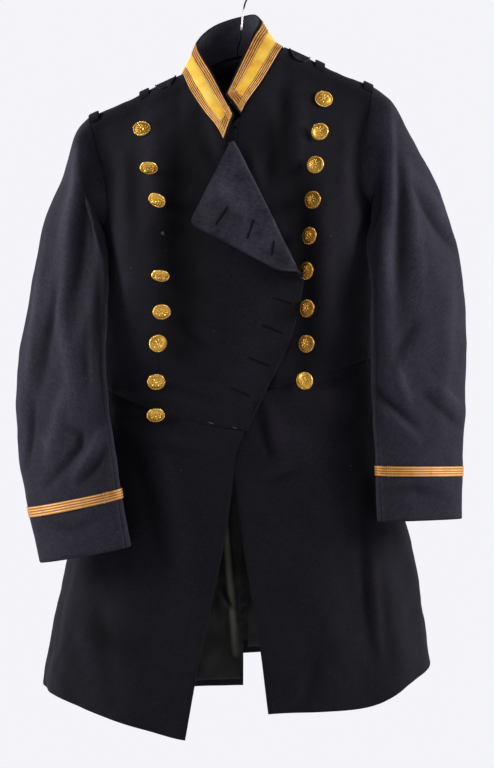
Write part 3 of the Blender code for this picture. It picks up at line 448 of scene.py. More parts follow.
def fold_height(side, angle, down):
    total = np.zeros(np.broadcast(angle, down).shape)
    for row in BODY_FOLDS:
        fold = dict(zip(FOLD_COLUMNS, row))
        if fold["side"] != side:
            continue
        t = (down - fold["top"]) / (fold["bottom"] - fold["top"])
        middle = mix(fold["angle_top"], fold["angle_bottom"], np.clip(t, 0, 1))
        swell = bell(angle - middle, fold["width"])
        full = ease(t * FOLD_GROWTH) if fold["bottom"] > HEM_REACHED else rising_and_falling(t)
        total = total + fold["height"] * swell * full
    return total


def shell(side, angle, down, out=0.0):
    """A point of the cloth, this far outside its outer face."""
    angle, down = np.broadcast_arrays(np.asarray(angle, float), np.asarray(down, float))
    run = run_of(down)
    lift = fold_height(side, angle, down) + out
    return bare_shell(side, angle, run) + shell_normal(side, angle, run) * lift[..., None]


def angle_at(side, x, down):
    """The angle, in front, at which the shell is at x this far down."""
    share = side * (x - SHELL_CURVES["middle"](down)) / SHELL_CURVES["half"](down)
    return angle_for(np.clip(share, -MOST_SHARE, MOST_SHARE), SHELL_CURVES["square"](down))


def front_angle(side, x, height):
    down = down_at(x, height)
    return angle_at(side, x, down), down


def on_front(side, x, height, out=0.0):
    """The point of the cloth that a viewer in front sees at x and this height."""
    angle, down = front_angle(side, np.asarray(x, float), np.asarray(height, float))
    return shell(side, angle, down, out)


def seen_edge(side, points):
    """An edge drawn as (x, height) points, as the angle at each distance down."""
    angle, down = front_angle(side, *np.array(points, float).T)
    return through(down, angle)


def angle_table(rows):
    return through(*np.array(rows, float).T)


ARMHOLE_CURVES = columns_of(ARMHOLE_COLUMNS, ARMHOLE, "down")
SIDE_CURVE = angle_table(SIDE_SEAM)
BACK_CURVE = angle_table(BACK_SEAM)
BACK_SKIRT_CURVE = angle_table(BACK_SKIRT_EDGE)
WAIST_CURVES = {side: through(WAIST_ANGLES, WAIST[side]) for side in WAIST}
HEM_CURVES = {side: through(HEM_ANGLES, HEM[side]) for side in HEM}
NECK_CURVES = {side: seen_edge(side, NECK_FRONT[side] + LAPEL_SEAM[side]) for side in NECK_FRONT}
EDGE_CURVES = {side: seen_edge(side, FRONT_EDGE[side]) for side in FRONT_EDGE}


def armhole_front(down):
    return np.where(down < ARMPIT_DOWN, ARMHOLE_CURVES["front"](down), SIDE_CURVE(down))


def armhole_back(down):
    return np.where(down < ARMPIT_DOWN, ARMHOLE_CURVES["back"](down), SIDE_CURVE(down))


def back_piece_side(down):
    upper = np.where(down < ARMHOLE_SPAN, ARMHOLE_CURVES["back"](down), BACK_CURVE(down))
    return np.where(down < BACK_SEAM[-1][0], upper, BACK_SKIRT_CURVE(down))


def neck_back_down(side, angle):
    """The back neckline: down in the middle, up to the shoulder line at each side of the neck."""
    share = breadth_share(180 - angle, SHELL_CURVES["square"](0.0))
    x = SHELL_CURVES["middle"](0.0) + side * SHELL_CURVES["half"](0.0) * share
    return BACK_NECK_DOWN * np.sqrt(np.clip(1 - ((x - NECK_MIDDLE) / NECK_HALF) ** 2, 0, 1))


def level(down):
    return lambda angle: np.full_like(angle, down)


def front_lift(side, angle, down):
    """The right front lies over the left one, so it stands further out towards the centre."""
    if side == LEFT:
        return np.zeros(np.broadcast(angle, down).shape)
    starts, whole = TOP_LAYER_ANGLES
    return TOP_LAYER * ease((starts - angle) / (starts - whole)) * ease(down / TOP_LAYER_DOWN)


def back_lift(side, angle, down):
    """Below the waist the back lies over the pleat, and the left back over the right one at the vent."""
    grown = BACK_LAYER * ease((down - BACK_LAYER_FROM) / BACK_LAYER_FADE)
    towards_vent = ease((angle - VENT_FROM) / VENT_FADE)
    return grown if side == LEFT else grown * (1 - towards_vent)


def flap_reach(along, length):
    """How far the turned-back corner reaches from the fold, at a distance along it."""
    rising = FLAP_CORNER_OUT * along / FLAP_CORNER_ALONG
    falling = FLAP_CORNER_OUT * (length - along) / (length - FLAP_CORNER_ALONG)
    least = -FLAP_SOFT * np.logaddexp(-rising / FLAP_SOFT, -falling / FLAP_SOFT)
    return np.maximum(least, FLAP_LEAST)


def lapel_point(s, t, out=0.0):
    """A point of the right lapel. s is 0 at the top of the fold, 1 at its end and 2 at the waist seam.

    t is 0 at the lapel seam, 1 at the fold or the front edge, 2 round the turn and 3 at the free edge.
    """
    s, t = np.broadcast_arrays(np.asarray(s, float), np.asarray(t, float))
    start, end = np.array(FOLD_TOP), np.array(FOLD_END)
    length = np.linalg.norm(end - start)
    way = (end - start) / length
    across = np.array([-way[1], way[0]])
    folded = s <= 1
    below = np.clip(s - 1, 0, 1)
    fold = start + np.clip(s, 0, 1)[..., None] * (end - start)
    angle_fold, down_fold = front_angle(RIGHT, fold[..., 0], fold[..., 1])
    end_down = down_at(*end)
    down_fold = np.where(folded, down_fold, mix(end_down, WAIST_CURVES[RIGHT](0.0), below))
    angle_fold = np.where(folded, angle_fold, EDGE_CURVES[RIGHT](down_fold))
    angle_seam = NECK_CURVES[RIGHT](down_fold) - LAPEL_SEAM_CLEAR
    edge = np.where(folded, 0.0, LAPEL_EDGE * np.maximum(t - 1, 0))
    angle = mix(angle_seam, angle_fold, np.clip(t, 0, 1)) - edge
    down = np.where(folded, down_fold, mix(end_down, WAIST_CURVES[RIGHT](angle) - 2 * SEAM, below))
    lift = front_lift(RIGHT, angle, down)
    flat = shell(RIGHT, angle, down, lift + out)

    opened = math.pi * (1 - FOLD_OPEN * ease(1 - (1 - s) * length / FOLD_FADE))
    around = opened * np.clip(t - 1, 0, 1)
    free = flap_reach(np.clip(s, 0, 1) * length, length) * np.maximum(t - 2, 0)
    radius = FOLD_RADIUS - out
    sideways = radius * np.sin(around) + free * np.cos(around)
    curl = FLAP_CURL * (free / FLAP_CORNER_OUT) ** 2
    height = lift + FOLD_RADIUS - radius * np.cos(around) + free * np.sin(around) + curl
    seen = fold + sideways[..., None] * across
    turned = on_front(RIGHT, seen[..., 0], seen[..., 1], height)
    return np.where((folded & (t > 1))[..., None], turned, flat)


def armhole_ring(side, turn):
    """The armhole's edge: 0 at the shoulder, 90 in front, 180 under the arm, 270 behind."""
    turn = np.mod(turn, 360.0)
    down = ARMPIT_DOWN * (1 - np.cos(np.radians(turn))) / 2
    angle = np.where(turn <= 180, ARMHOLE_CURVES["front"](down), ARMHOLE_CURVES["back"](down))
    ring = shell(side, angle, down)
    return ring + np.array([side * ARMHOLE_GAP, 0, 0])


class Sleeve:
    """One sleeve as a surface: how far along it, from the armhole's edge to the cuff, and round it."""

    def __init__(self, side):
        self.side = side
        rows = SLEEVES[side]
        shoulder, armpit = armhole_ring(side, np.array([0.0, 180.0]))
        middle = (shoulder + armpit) / 2
        reach = shoulder - armpit
        rise = math.degrees(math.atan2(reach[2], side * reach[0]))
        first = (*middle, np.linalg.norm(reach) / 2, ARMHOLE_HALF_DEPTH, rise, 0)
        numbers = range(len(rows) + 1)
        table = [first, *rows]
        self.last = len(rows)
        self.curves = {
            name: through(numbers, [row[i] for row in table]) for i, name in enumerate(SLEEVE_COLUMNS)
        }

    def plain(self, along, turn):
        c = {name: curve(along) for name, curve in self.curves.items()}
        swing, rise, t = np.radians(c["swing"]), np.radians(c["rise"]), np.radians(turn)
        hidden = np.minimum((c["depth"] * np.sin(swing)) ** 2, SWING_MOST * c["breadth"] ** 2)
        half = np.sqrt(c["breadth"] ** 2 - hidden) / np.cos(swing)
        centre = np.stack([c["x"], c["y"], c["height"]], axis=-1)
        outer = np.stack(
            [self.side * np.cos(rise) * np.cos(swing), np.cos(rise) * np.sin(swing), np.sin(rise)], axis=-1
        )
        ahead = np.stack([-self.side * np.sin(swing), -np.cos(swing), np.zeros_like(swing)], axis=-1)
        return centre + outer * (half * np.cos(t))[..., None] + ahead * (c["depth"] * np.sin(t))[..., None]

    def creased(self, along, turn):
        along, turn = np.broadcast_arrays(np.asarray(along, float), np.asarray(turn, float))
        start = armhole_ring(self.side, turn) - self.plain(np.zeros_like(along), turn)
        left_over = np.clip(1 - along / ARMHOLE_BLEND, 0, 1) ** 2
        return self.plain(along, turn) + start * left_over[..., None]

    def point(self, along, turn, out=0.0):
        along, turn = np.broadcast_arrays(np.asarray(along, float), np.asarray(turn, float))
        around = self.creased(along, turn + SLEEVE_TURN_STEP) - self.creased(along, turn - SLEEVE_TURN_STEP)
        lower = self.creased(np.minimum(along + SLEEVE_ALONG_STEP, self.last), turn)
        down = lower - self.creased(np.maximum(along - SLEEVE_ALONG_STEP, 0), turn)
        normal = unit(self.side * np.cross(around, down))
        lift = np.zeros(along.shape)
        for row in SLEEVE_FOLDS[self.side]:
            fold = dict(zip(CREASE_COLUMNS, row))
            t = (along - fold["first"]) / (fold["last"] - fold["first"])
            middle = mix(fold["angle_first"], fold["angle_last"], np.clip(t, 0, 1))
            away = np.mod(turn - middle + 180, 360) - 180
            lift = lift + fold["height"] * bell(away, fold["width"]) * rising_and_falling(t)
        return self.creased(along, turn) + normal * (lift + out)[..., None]


SLEEVES_MADE = {side: Sleeve(side) for side in SLEEVES}


def neckline(share):
    """The neckline from the right front end round the back to the left front end."""
    samples = []
    for side, order in ((RIGHT, slice(None, None, -1)), (LEFT, slice(None))):
        low = front_angle(side, *np.array(NECK_FRONT[side][-1], float))[1]
        down = np.linspace(0, 1, NECK_SAMPLES)[order] ** NECK_CROWDING * low
        angle = NECK_CURVES[side](down)
        front = shell(side, angle, down, front_lift(side, angle, down))
        angle = mix(180 - NECK_CURVES[side](0.0), 180.0, np.linspace(0, 1, NECK_BACK_SAMPLES))
        behind = shell(side, angle, np.maximum(neck_back_down(side, angle), down_of(0.1)))
        part = [front[:-1], behind] if side == RIGHT else [behind[::-1][1:], front[1:]]
        samples.extend(part)
    line = np.concatenate(samples)
    steps = steps_of(line)
    return np.stack([np.interp(share * steps[-1], steps, part) for part in line.T], axis=-1)


class Collar:
    """The stand collar as a surface: a share round it and a share of its height."""

    def __init__(self):
        top = np.array(COLLAR_TOP, float)
        steps = steps_of(top)
        self.top = [through(steps / steps[-1], part) for part in top.T]

    def plain(self, share, up):
        base = neckline(share)
        top = np.stack([curve(share) for curve in self.top], axis=-1)
        start = base + unit(top - base) * COLLAR_SEAM
        swell = COLLAR_SWELL * np.sin(math.pi * up) * np.sin(math.pi * np.clip(share, 0, 1))
        line = mix(start, top, up[..., None])
        away = unit(line - np.array(COLLAR_MIDDLE)) * np.array([1.0, 1.0, 0.0])
        return line + away * swell[..., None]

    def point(self, share, up, out=0.0):
        share, up = np.broadcast_arrays(np.asarray(share, float), np.asarray(up, float))
        step, rise = COLLAR_PROBES
        around = self.plain(np.minimum(share + step, 1), up) - self.plain(np.maximum(share - step, 0), up)
        rise = self.plain(share, np.minimum(up + rise, 1)) - self.plain(share, np.maximum(up - rise, 0))
        normal = unit(np.cross(rise, around))
        return self.plain(share, up) + normal * np.asarray(out)[..., None]


def arched(v):
    """A loop's ends are sewn down and its middle arches, so a strap passes under it."""
    return LOOP_ARCH * (1 - v**4)


def button_place(side, button):
    """Where a button's shank leaves the cloth, the middle of its back, and how the cloth and it face."""
    nod, turn = math.radians(button["nod"]), math.radians(button["turn"])
    facing = np.array([math.sin(turn) * math.cos(nod), -math.cos(turn) * math.cos(nod), math.sin(nod)])
    seen = np.array([button["x"], button["height"]])
    aim = seen.copy()
    for _ in range(AIM_ROUNDS):
        angle, down = front_angle(side, *aim)
        seat = shell(side, angle, down, front_lift(side, angle, down))
        normal = shell_normal(side, angle, run_of(down))
        lean = math.acos(min(1.0, float(facing @ normal)))
        back = seat + normal * max(BUTTON_STAND, BUTTON_CLEAR + BUTTON_RADIUS * math.sin(lean))
        aim += seen - (back + facing * BUTTON_MIDDLE)[[0, 2]]
    return seat, back, normal, facing


# Creases: +1 for the back or -1 for the front, how far it stands out, its breadth, and its line across the
# view in steps of VIEW_STEP from the view's upper left corner
VIEW_STEP = 1.245
VIEW_CORNER = (-296.0, -52.0)
BODY_CREASES = (
    (-1, -7.5, 23, (196, 96), (189, 140), (183, 200), (183, 270), (188, 350)),
    (-1, -2.5, 9, (172, 226), (190, 232), (206, 240)),
    (-1, 3.0, 13, (150, 96), (152, 150), (157, 214)),
    (-1, -3.5, 12, (134, 150), (132, 200), (134, 262)),
    (-1, 2.0, 16, (120, 250), (124, 320), (130, 372)),
    (-1, 2.6, 22, (258, 290), (252, 340), (240, 398)),
    (-1, -4.5, 10, (284, 78), (282, 110), (284, 158)),
    (-1, 2.6, 9, (302, 92), (300, 130), (298, 168)),
    (-1, 3.0, 16, (318, 392), (336, 400), (352, 408)),
    (-1, 2.4, 20, (270, 420), (290, 440), (320, 452)),
    (-1, -2.2, 18, (90, 620), (118, 640), (150, 650)),
    (-1, -3.0, 9, (196, 112), (204, 140), (216, 168)),
    (-1, 2.0, 8, (208, 118), (216, 140), (224, 158)),
    (-1, 2.5, 14, (322, 190), (326, 260), (328, 330)),
    (-1, -2.0, 8, (268, 112), (271, 150), (266, 186)),
    (-1, 1.6, 6, (250, 150), (256, 172), (262, 186)),
    (-1, -2.0, 5, (184, 326), (198, 342), (216, 351)),
    (-1, 1.5, 6, (190, 318), (206, 330), (224, 340)),
    (-1, -1.5, 4, (170, 372), (198, 378), (228, 380)),
    (-1, -1.6, 3.5, (174, 388), (200, 395), (224, 402)),
    (-1, 1.2, 4, (166, 396), (190, 402), (214, 411)),
    (-1, -2.6, 5, (112, 398), (128, 403), (146, 408)),
    (-1, 1.4, 5, (112, 388), (130, 393), (150, 396)),
    (-1, -1.6, 5, (112, 412), (134, 416), (156, 417)),
    (-1, -3.5, 11, (122, 426), (136, 450), (148, 490), (163, 556)),
    (-1, 2.6, 14, (152, 434), (166, 480), (178, 540), (186, 610)),
    (-1, -1.2, 5, (136, 442), (168, 449), (206, 455)),
    (-1, 1.2, 6, (140, 433), (172, 439), (210, 446)),
    (-1, -2.0, 12, (96, 600), (104, 650), (114, 690)),
    (-1, 2.0, 12, (78, 590), (84, 640), (92, 680)),
    (-1, -3.6, 7, (256, 404), (266, 432), (273, 458)),
    (-1, 2.0, 7, (268, 400), (278, 430), (284, 456)),
    (-1, -1.8, 5, (262, 486), (282, 478), (302, 470)),
    (-1, 1.6, 6, (262, 476), (282, 468), (304, 458)),
    (-1, -3.2, 7, (366, 480), (364, 540), (366, 600), (372, 650)),
    (-1, 2.8, 6, (374, 560), (375, 610), (381, 660)),
    (-1, -1.6, 6, (384, 580), (387, 630), (392, 670)),
    (-1, 1.6, 7, (304, 668), (298, 688), (290, 706)),
    (-1, -1.6, 7, (318, 640), (312, 675), (304, 706)),
    (-1, -2.2, 8, (106, 150), (110, 190), (116, 230)),
    (-1, 2.0, 9, (122, 150), (126, 200), (130, 250)),
    (-1, -2.4, 8, (366, 110), (362, 150), (358, 200)),
    (-1, 1.8, 8, (348, 120), (346, 160), (344, 210)),
    (-1, -1.4, 5, (312, 384), (330, 380), (350, 374)),
    (-1, 1.2, 5, (314, 396), (334, 392), (356, 386)),
    (-1, -1.3, 4, (348, 366), (362, 372), (374, 384)),
    (1, -2.6, 9, (134, 150), (150, 200), (172, 262)),
    (1, 2.0, 9, (150, 146), (166, 196), (188, 252)),
    (1, -2.4, 9, (346, 130), (330, 190), (308, 256)),
    (1, 2.0, 9, (332, 128), (314, 184), (292, 244)),
    (1, -1.8, 5, (206, 352), (236, 360), (268, 354)),
    (1, 1.5, 6, (204, 340), (238, 347), (272, 340)),
    (1, -1.6, 5, (150, 372), (172, 380), (198, 384)),
    (1, -1.7, 5, (278, 380), (300, 374), (326, 364)),
    (1, -1.6, 7, (226, 66), (240, 84), (256, 70)),
    (1, -3.0, 9, (196, 440), (186, 520), (178, 620)),
    (1, 2.6, 9, (212, 440), (208, 520), (202, 620)),
    (1, -3.0, 9, (284, 430), (296, 520), (306, 610)),
    (1, 2.4, 9, (268, 440), (276, 520), (282, 610)),
    (1, -2.6, 10, (120, 440), (106, 540), (98, 640)),
    (1, -2.6, 10, (360, 430), (378, 530), (390, 620)),
)
# Creases of the left front alone, beside and under the upper lapel
LEFT_CREASES = (
    (-1, -7.5, 19, (298, 176), (302, 250), (304, 310), (303, 366)),
    (-1, -2.5, 16, (262, 120), (268, 150), (280, 190)),
    (-1, -4.5, 9, (270, 366), (264, 386), (272, 410)),
)
SLEEVE_CREASES = (
    (-1, -5.0, 9, (98, 250), (100, 300), (101, 360), (106, 430)),
    (-1, -1.5, 8, (98, 160), (100, 200), (99, 250)),
    (-1, -4.0, 7, (372, 210), (374, 280), (376, 360), (380, 440)),
    (-1, 4.5, 10, (76, 150), (70, 200), (66, 260), (60, 313), (70, 367), (73, 412)),
    (-1, -5.1, 10, (84, 160), (81, 220), (76, 270), (69, 312)),
    (-1, -4.5, 7, (56, 284), (47, 330), (38, 388)),
    (-1, 3.6, 6, (39, 262), (29, 348), (26, 388)),
    (-1, 3.6, 8, (64, 392), (57, 425), (47, 462)),
    (-1, -3.6, 5, (33, 400), (31, 432), (27, 468)),
    (-1, -3.9, 5, (70, 428), (83, 433), (82, 446), (68, 463), (46, 484)),
    (-1, 3.3, 5, (106, 424), (94, 450), (74, 478)),
    (-1, -3.0, 5, (108, 446), (98, 466), (82, 482)),
    (-1, 2.4, 5, (42, 436), (52, 446), (66, 448)),
    (-1, -2.4, 6, (88, 310), (86, 350), (90, 392)),
    (-1, 2.2, 6, (96, 330), (95, 370), (98, 404)),
    (-1, -2.1, 6, (46, 520), (74, 528), (104, 514)),
    (-1, 4.5, 9, (392, 100), (393, 160), (391, 214), (386, 294)),
    (-1, -4.2, 8, (400, 110), (402, 170), (401, 240), (398, 330)),
    (-1, 3.3, 9, (410, 160), (414, 210), (419, 250), (424, 300)),
    (-1, -3.6, 6, (412, 178), (433, 213), (460, 248)),
    (-1, 2.4, 6, (420, 172), (440, 200), (456, 222)),
    (-1, -3.6, 7, (384, 150), (380, 200), (378, 250)),
    (-1, -3.0, 7, (418, 322), (402, 345), (394, 370)),
    (-1, 3.0, 6, (396, 362), (401, 384), (409, 404)),
    (-1, -3.6, 4.5, (376, 388), (390, 404), (418, 428)),
    (-1, 2.7, 5, (378, 402), (394, 420), (420, 442)),
    (-1, -3.6, 5, (422, 392), (444, 410), (464, 428)),
    (-1, 2.7, 5, (430, 380), (448, 394), (465, 408)),
    (-1, -2.1, 6, (384, 492), (412, 488), (446, 498)),
    (1, -4.5, 9, (60, 200), (48, 290), (40, 370)),
    (1, 3.6, 9, (82, 190), (72, 280), (60, 370)),
    (1, -3.9, 6, (30, 400), (60, 416), (92, 404)),
    (1, 3.3, 6, (32, 386), (62, 400), (94, 388)),
    (1, -3.6, 6, (36, 430), (66, 446), (100, 430)),
    (1, -4.5, 9, (420, 170), (434, 260), (440, 340)),
    (1, 3.6, 9, (400, 160), (410, 250), (416, 340)),
    (1, -3.9, 6, (376, 380), (410, 394), (452, 378)),
    (1, 3.3, 6, (378, 366), (410, 380), (454, 362)),
    (1, -3.3, 6, (380, 408), (412, 424), (456, 408)),
)
FACING_CREASES = (
    (-1, 1.6, 9, (206, 196), (226, 208), (244, 232)),
    (-1, -1.6, 7, (222, 186), (240, 200), (256, 226)),
)
# Slight unevenness of hanging cloth: how high and how long each swell is, how many there are of each, and how
# far their lengths differ
SWELLS = ((0.55, 92.0), (0.45, 64.0), (0.32, 41.0), (0.2, 27.0), (0.14, 18.0))
SWELLS_OF_EACH = 5
SWELL_SPREAD = (0.8, 1.25)
CLOTH_SEED = 7
# A crease dies away at both ends of its line, and where the cloth turns off from its side
CREASE_ENDS = (0.06, 0.94)
CREASE_BLUNT = 0.7
CREASE_TURN = 2.4
# Seams: their depth and breadth, the share of the depth at a pressed one, and the puckers beside them
SEAM_DEPTH = 1.0
SEAM_ROLL = 1.5
PRESSED = 0.2
PUCKER = 0.32
PUCKER_REACH = 9.0
PUCKER_STEP = 15.0
PUCKER_DRIFT = 1.7
PUCKER_DRIFT_STEP = 31.0
# Turned edges: how far they roll in, over what breadth, at most by what share of the wall, and the breadth of
# the painted shade along them
EDGE_ROLL = 0.75
EDGE_ROUND = 0.9
EDGE_MOST = 0.36
EDGE_SHADE_REACH = 1.6
# How many rows of points each cloth piece has between the lines that cross it, and how many columns
GRIDS = {
    "forepart": (44, 66, 52), "lapel": (90, 26), "side_body": (66, 24), "back": (40, 64, 100, 34),
    "skirt": (104, 92), "lining": (110, 46), "collar": (18, 110), "collar_field": (26, 150), "loop": (50, 12),
    "patch": (44, 30),
}
# Rows of the right lapel beside its fold and below it, and columns of its flat part, its turn and its corner
LAPEL_GRID = (84, 40, 26, 12, 30)
# Rows of a sleeve, and columns of the under and the top sleeve
SLEEVE_GRID = (130, 30, 72)
# How a piece's edges are found: rounds of search, guesses of its top and bottom, and the least run
EDGE_ROUNDS = 12
GUESS_TOP, GUESS_BOTTOM = 60.0, 500.0
TOP_RUN = 0.05
# How strongly these pieces swell, where the others do so evenly
SWELL_SHARES = {
    "lapel_left": 0.8, "lapel_right": 0.7, "skirt": 1.25, "sleeve": 0.9, "field": 0.25, "patch": 0.1,
}
# How quickly creases come back beside the right lapel's turn, and on its flat part before the fold
LAPEL_BEND = 1.2
LAPEL_CALM = 5
# How much the creases' painted light lightens their ridges and their painted shade darkens their folds, and
# the height of a crease at which either is full
CREASE_LIGHT_AND_SHADE = 0.72
FULL_FOLD = 4.2
FACING_BREADTH = 34.0
# Shares of a piece where its points crowd at an edge, and the angle at which two faces stay sharp
CROWDING = (0.0, 0.0035, 0.008, 0.015, 0.026)
SHARP = 50

# The body swells where a sleeve hangs against it: how far, its middle and breadth in degrees, and how far
# down it starts and ends, each with the length over which it comes and goes
SIDE_FILL = {LEFT: 6.0, RIGHT: 3.0}
SIDE_FILL_ANGLE, SIDE_FILL_BREADTH = 92, 20
SIDE_FILL_FROM, SIDE_FILL_TO = (150, 60), (560, 90)
# The sleeve swells against the body, and once more under the armpit, in degrees round it and in its sections
SLEEVE_FILL = 3.2
SLEEVE_FILL_TURN, SLEEVE_FILL_BREADTH = 180, 45
SLEEVE_FILL_FROM, SLEEVE_FILL_TO = 0.5, (6.5, 2)
ARMPIT_FILL = {LEFT: 2.0, RIGHT: 9.0}
ARMPIT_TURN, ARMPIT_BREADTH = 160, 38
ARMPIT_ALONG, ARMPIT_LENGTH, ARMPIT_FROM = 1.5, 0.8, 0.6
# Creases of a sleeve fade over these many sections at its head and at its cuff
SLEEVE_CALM = (0.7, 0.5)
# How far the under sleeve reaches under the top one, in degrees, how far both reach into the armhole and how
# deep that edge is tucked in, and how far down the sleeve its inner face is cloth
SLEEVE_ALLOWANCE = 2.5
ARMHOLE_ALLOWANCE = 5.5
ARMHOLE_TUCK = 3.0
SLEEVE_HEAD = 130.0
# How far the foreparts reach under the lapels, in degrees
LAPEL_ALLOWANCE = {LEFT: 0.0, RIGHT: 0.7}
# The centre back comes off the middle from here down, and the pleat of the skirts from here
VENT_DOWN, VENT_LENGTH = 450, 50
PLEAT_DOWN, PLEAT_LENGTH = 440, 40

# Lace: where its raised cords and the brown lines between them lie across it, the lines' breadth and depth,
# and how many rows of points it has across. The brown is partly the core's own and partly painted shade
# between and beside the cords
LACE_CORDS = (0.13, 0.38, 0.62, 0.87)
LACE_LINES = (0.0, 0.25, 0.5, 0.75, 1.0)
LACE_LINE = 0.045
LACE_LINE_DEPTH = 0.2
LACE_ROWS = 41
LACE_WALL = 0.8
# Points along the collar's lace and its cords, at the ends and along its length, and round the cuff's
LACE_SHORT, LACE_LONG = 30, 180
CORD_SHORT, CORD_LONG = 40, 220
CUFF_COLUMNS = 220
# How far the lace and its cords stand out from the collar, and the lace at its ends over the other lace
COLLAR_LACE_OUT, COLLAR_CORD_OUT, LACE_OVERLAP = 0.9, 0.75, 0.35
# Behind, the collar's lower edge reaches down inside the neck, by these shares of its height
COLLAR_FOOT, COLLAR_FOOT_BEHIND = -0.012, -0.045
# The yellow field: how far it stands out, its wall, how far it reaches under the lace and how far it bulges
FIELD_OUT, FIELD_WALL = 0.62, 0.6
FIELD_UNDER_ENDS, FIELD_UNDER_ROWS = 0.004, 0.02
FIELD_PUFF = 0.5
# The cuff lace: how far it and its cords stand out, its wall, how far it rises toward the sleeve's inner
# side, where the stitches of its join lie before the sleeve's seam, in degrees, and a section above it
CUFF_LACE_OUT, CUFF_CORD_OUT, CUFF_STITCH_OUT = 1.5, 1.35, 2.0
CUFF_LACE_WALL = 1.1
LACE_SLANT = 2.2
CUFF_JOIN = (26, 22.5, 19)
CUFF_SECTION = 6
# How much further in front the shoulder patches and loops reach than behind
PATCH_FRONT, LOOP_FRONT = 8.0, 4.0
# A patch's rim and how far it stands out, and the radius of its eyelet and where that lies across the view
PATCH_RIM, PATCH_RIM_OUT = 0.75, 0.35
TOP_EDGE_RUN = 0.02
EYELET_RADIUS = 1.8
PATCH_EYELETS = {RIGHT: (169, 85), LEFT: (297.5, 57.5)}

# Buttonholes: both ends of each across the view, half the breadth of its worked edge and of its slit
FLAP_HOLES = (((216, 225), (228, 207)), ((247.5, 238.5), (254, 220)), ((272, 255), (274, 241)))
FRONT_HOLES = (
    ((274, 297.5), (292, 304)), ((262, 325), (283, 333)), ((249, 357.5), (270, 366)),
    ((231, 388), (250, 396)),
)
HOLE_EDGE = 1.25
SLIT_RADIUS = 0.95
# Other sewing seen across the view: tacks at the waist, rows of stitches, the place of the missing button
# with the sizes of the thread rings left there, and the neck's wire hooks with their slants
BAR_TACKS = (((209, 422.4), (213, 423.6)), ((233, 427.2), (236.5, 428.4)))
DART = ((352.5, 312), (352, 335), (351.5, 362))
ROW_SEAM = ((158.5, 290), (158, 330), (158.5, 372), (158.5, 404))
MISSING_BUTTON = (162.7, 233.2)
MISSING_RINGS = (0.8, 1.7)
NECK_HOOKS = (((235.5, 127.5), 24), ((232, 142), 8))
NECK_WIRE = 0.42
# Lint: its radius, and the place of each bit across the view, its slant and its length
LINT_RADIUS = 0.2
LINT = (
    ((164, 235), 30, 1.6), ((166, 250), -20, 1.2), ((86, 378), 70, 2.2), ((92, 380), 15, 1.4),
    ((76, 393), -50, 1.8), ((201, 205), 50, 1.2), ((195, 220), 60, 1.2), ((131, 268), 60, 1.4),
    ((214, 331), -35, 1.5), ((181, 470), 20, 1.3), ((351, 466), 75, 1.5), ((412, 300), -15, 1.4),
    ((331, 236), 10, 1.3), ((118, 532), 35, 1.6),
)
LINT_ON = (
    "lapel_right", "forepart_right", "forepart_left", "skirt_right", "skirt_left", "top_sleeve_right",
    "top_sleeve_left",
)
# Small things are laid on the cloth from this far outside its smooth surface
CAST_FROM = 14.0
# Edge stitches: how far inside a turned edge they lie, in millimetres, and in degrees at the front and vent
HEM_INSIDE, FRONT_INSIDE, VENT_INSIDE = 4.0, 1.1, 1.2
HEM_STITCHED, VENT_STITCHED = (16, 158), (480, 770)
FRONT_STITCH_TOP, FRONT_HEM_ANGLE = 6, 14.0
# The same as shares: of the right lapel's turned corner, of its edge and the collar's, and in sleeve sections
FLAP_STITCH, EDGE_STITCH = 2.965, 0.975
CUFF_INSIDE = 0.05

# Buttons that hang turned away into shade, with how much painted shade darkens each, and how much further
# than their solids the others droop that nod by more than this
BUTTONS_IN_PAINTED_SHADE = {(LEFT, 4): 0.8, (LEFT, 5): 0.9, (LEFT, 6): 0.9, (LEFT, 7): 0.9, (LEFT, 8): 0.7, (LEFT, 3): 0.3}
DROOP = 1.22
DROOP_NOD = -20
BUTTON_SIDES = 64
# Each button is turned on its shank by this many degrees more than the one above it
BUTTON_SPIN = 37.0
# A button's section: share of its radius, height, and how much dirt and painted shade lies there
BUTTON_PROFILE = (
    (0.90, -0.25, 0.5), (0.985, 0.0, 0.3), (1.0, 0.35, 0.1), (1.0, 0.75, 0.1), (0.975, 1.1, 0.2),
    (0.94, 1.22, 0.9), (0.88, 1.2, 1.0), (0.84, 1.3, 0.6), (0.76, 1.82, 0.75), (0.66, 2.36, 0.7),
    (0.55, 2.8, 0.85), (0.42, 3.18, 0.95), (0.28, 3.46, 0.95), (0.12, 3.62, 0.8), (0.03, 3.64, 0.5),
)
BUTTON_PEAK = 0.05
# Dirt and painted shade in the middle of a button's back and on its peak
BUTTON_ENDS_SHADE_AND_DIRT = (0.6, 0.4)
# What is stamped on the dome: each ring's share of the radius and of the dome, what counts its beads and how
# many times, their size outwards, sideways and upwards, and their skew
STAMPS = (
    (0.925, 0.36, "Rope Beads", 1.0, 0.105, 0.052, 0.075, 0.75),
    (0.77, 0.60, "Star Rays", 3.0, 0.040, 0.040, 0.060, 0.0),
    (0.39, 0.86, "Star Rays", 1.0, 0.270, 0.075, 0.100, 0.0),
    (0.52, 0.80, "Star Rays", 2.0, 0.130, 0.035, 0.070, 0.0),
    (0.0, 1.02, None, 1.0, 0.150, 0.150, 0.110, 0.0),
)
# The wire eye behind a button: its radius, its wire and how far back its middle lies
EYE_RADIUS, EYE_WIRE, EYE_DEPTH = 2.1, 0.55, 1.3
EYE_POINTS, EYE_AXIS = 21, (0.3, 0.2, 1.0)
# Threads through the eye: where each lies across it, their radius, how they spread on the cloth and in the
# eye, how far they bow, and how far they go into the cloth and behind the button
SHANK_THREADS = (-0.9, -0.3, 0.3, 0.9)
SHANK_THREAD, SHANK_BOW = 0.32, 0.6
SHANK_SPREAD, SHANK_GATHER = 1.6, 0.4
SHANK_IN, SHANK_OUT = 0.6, 2.2

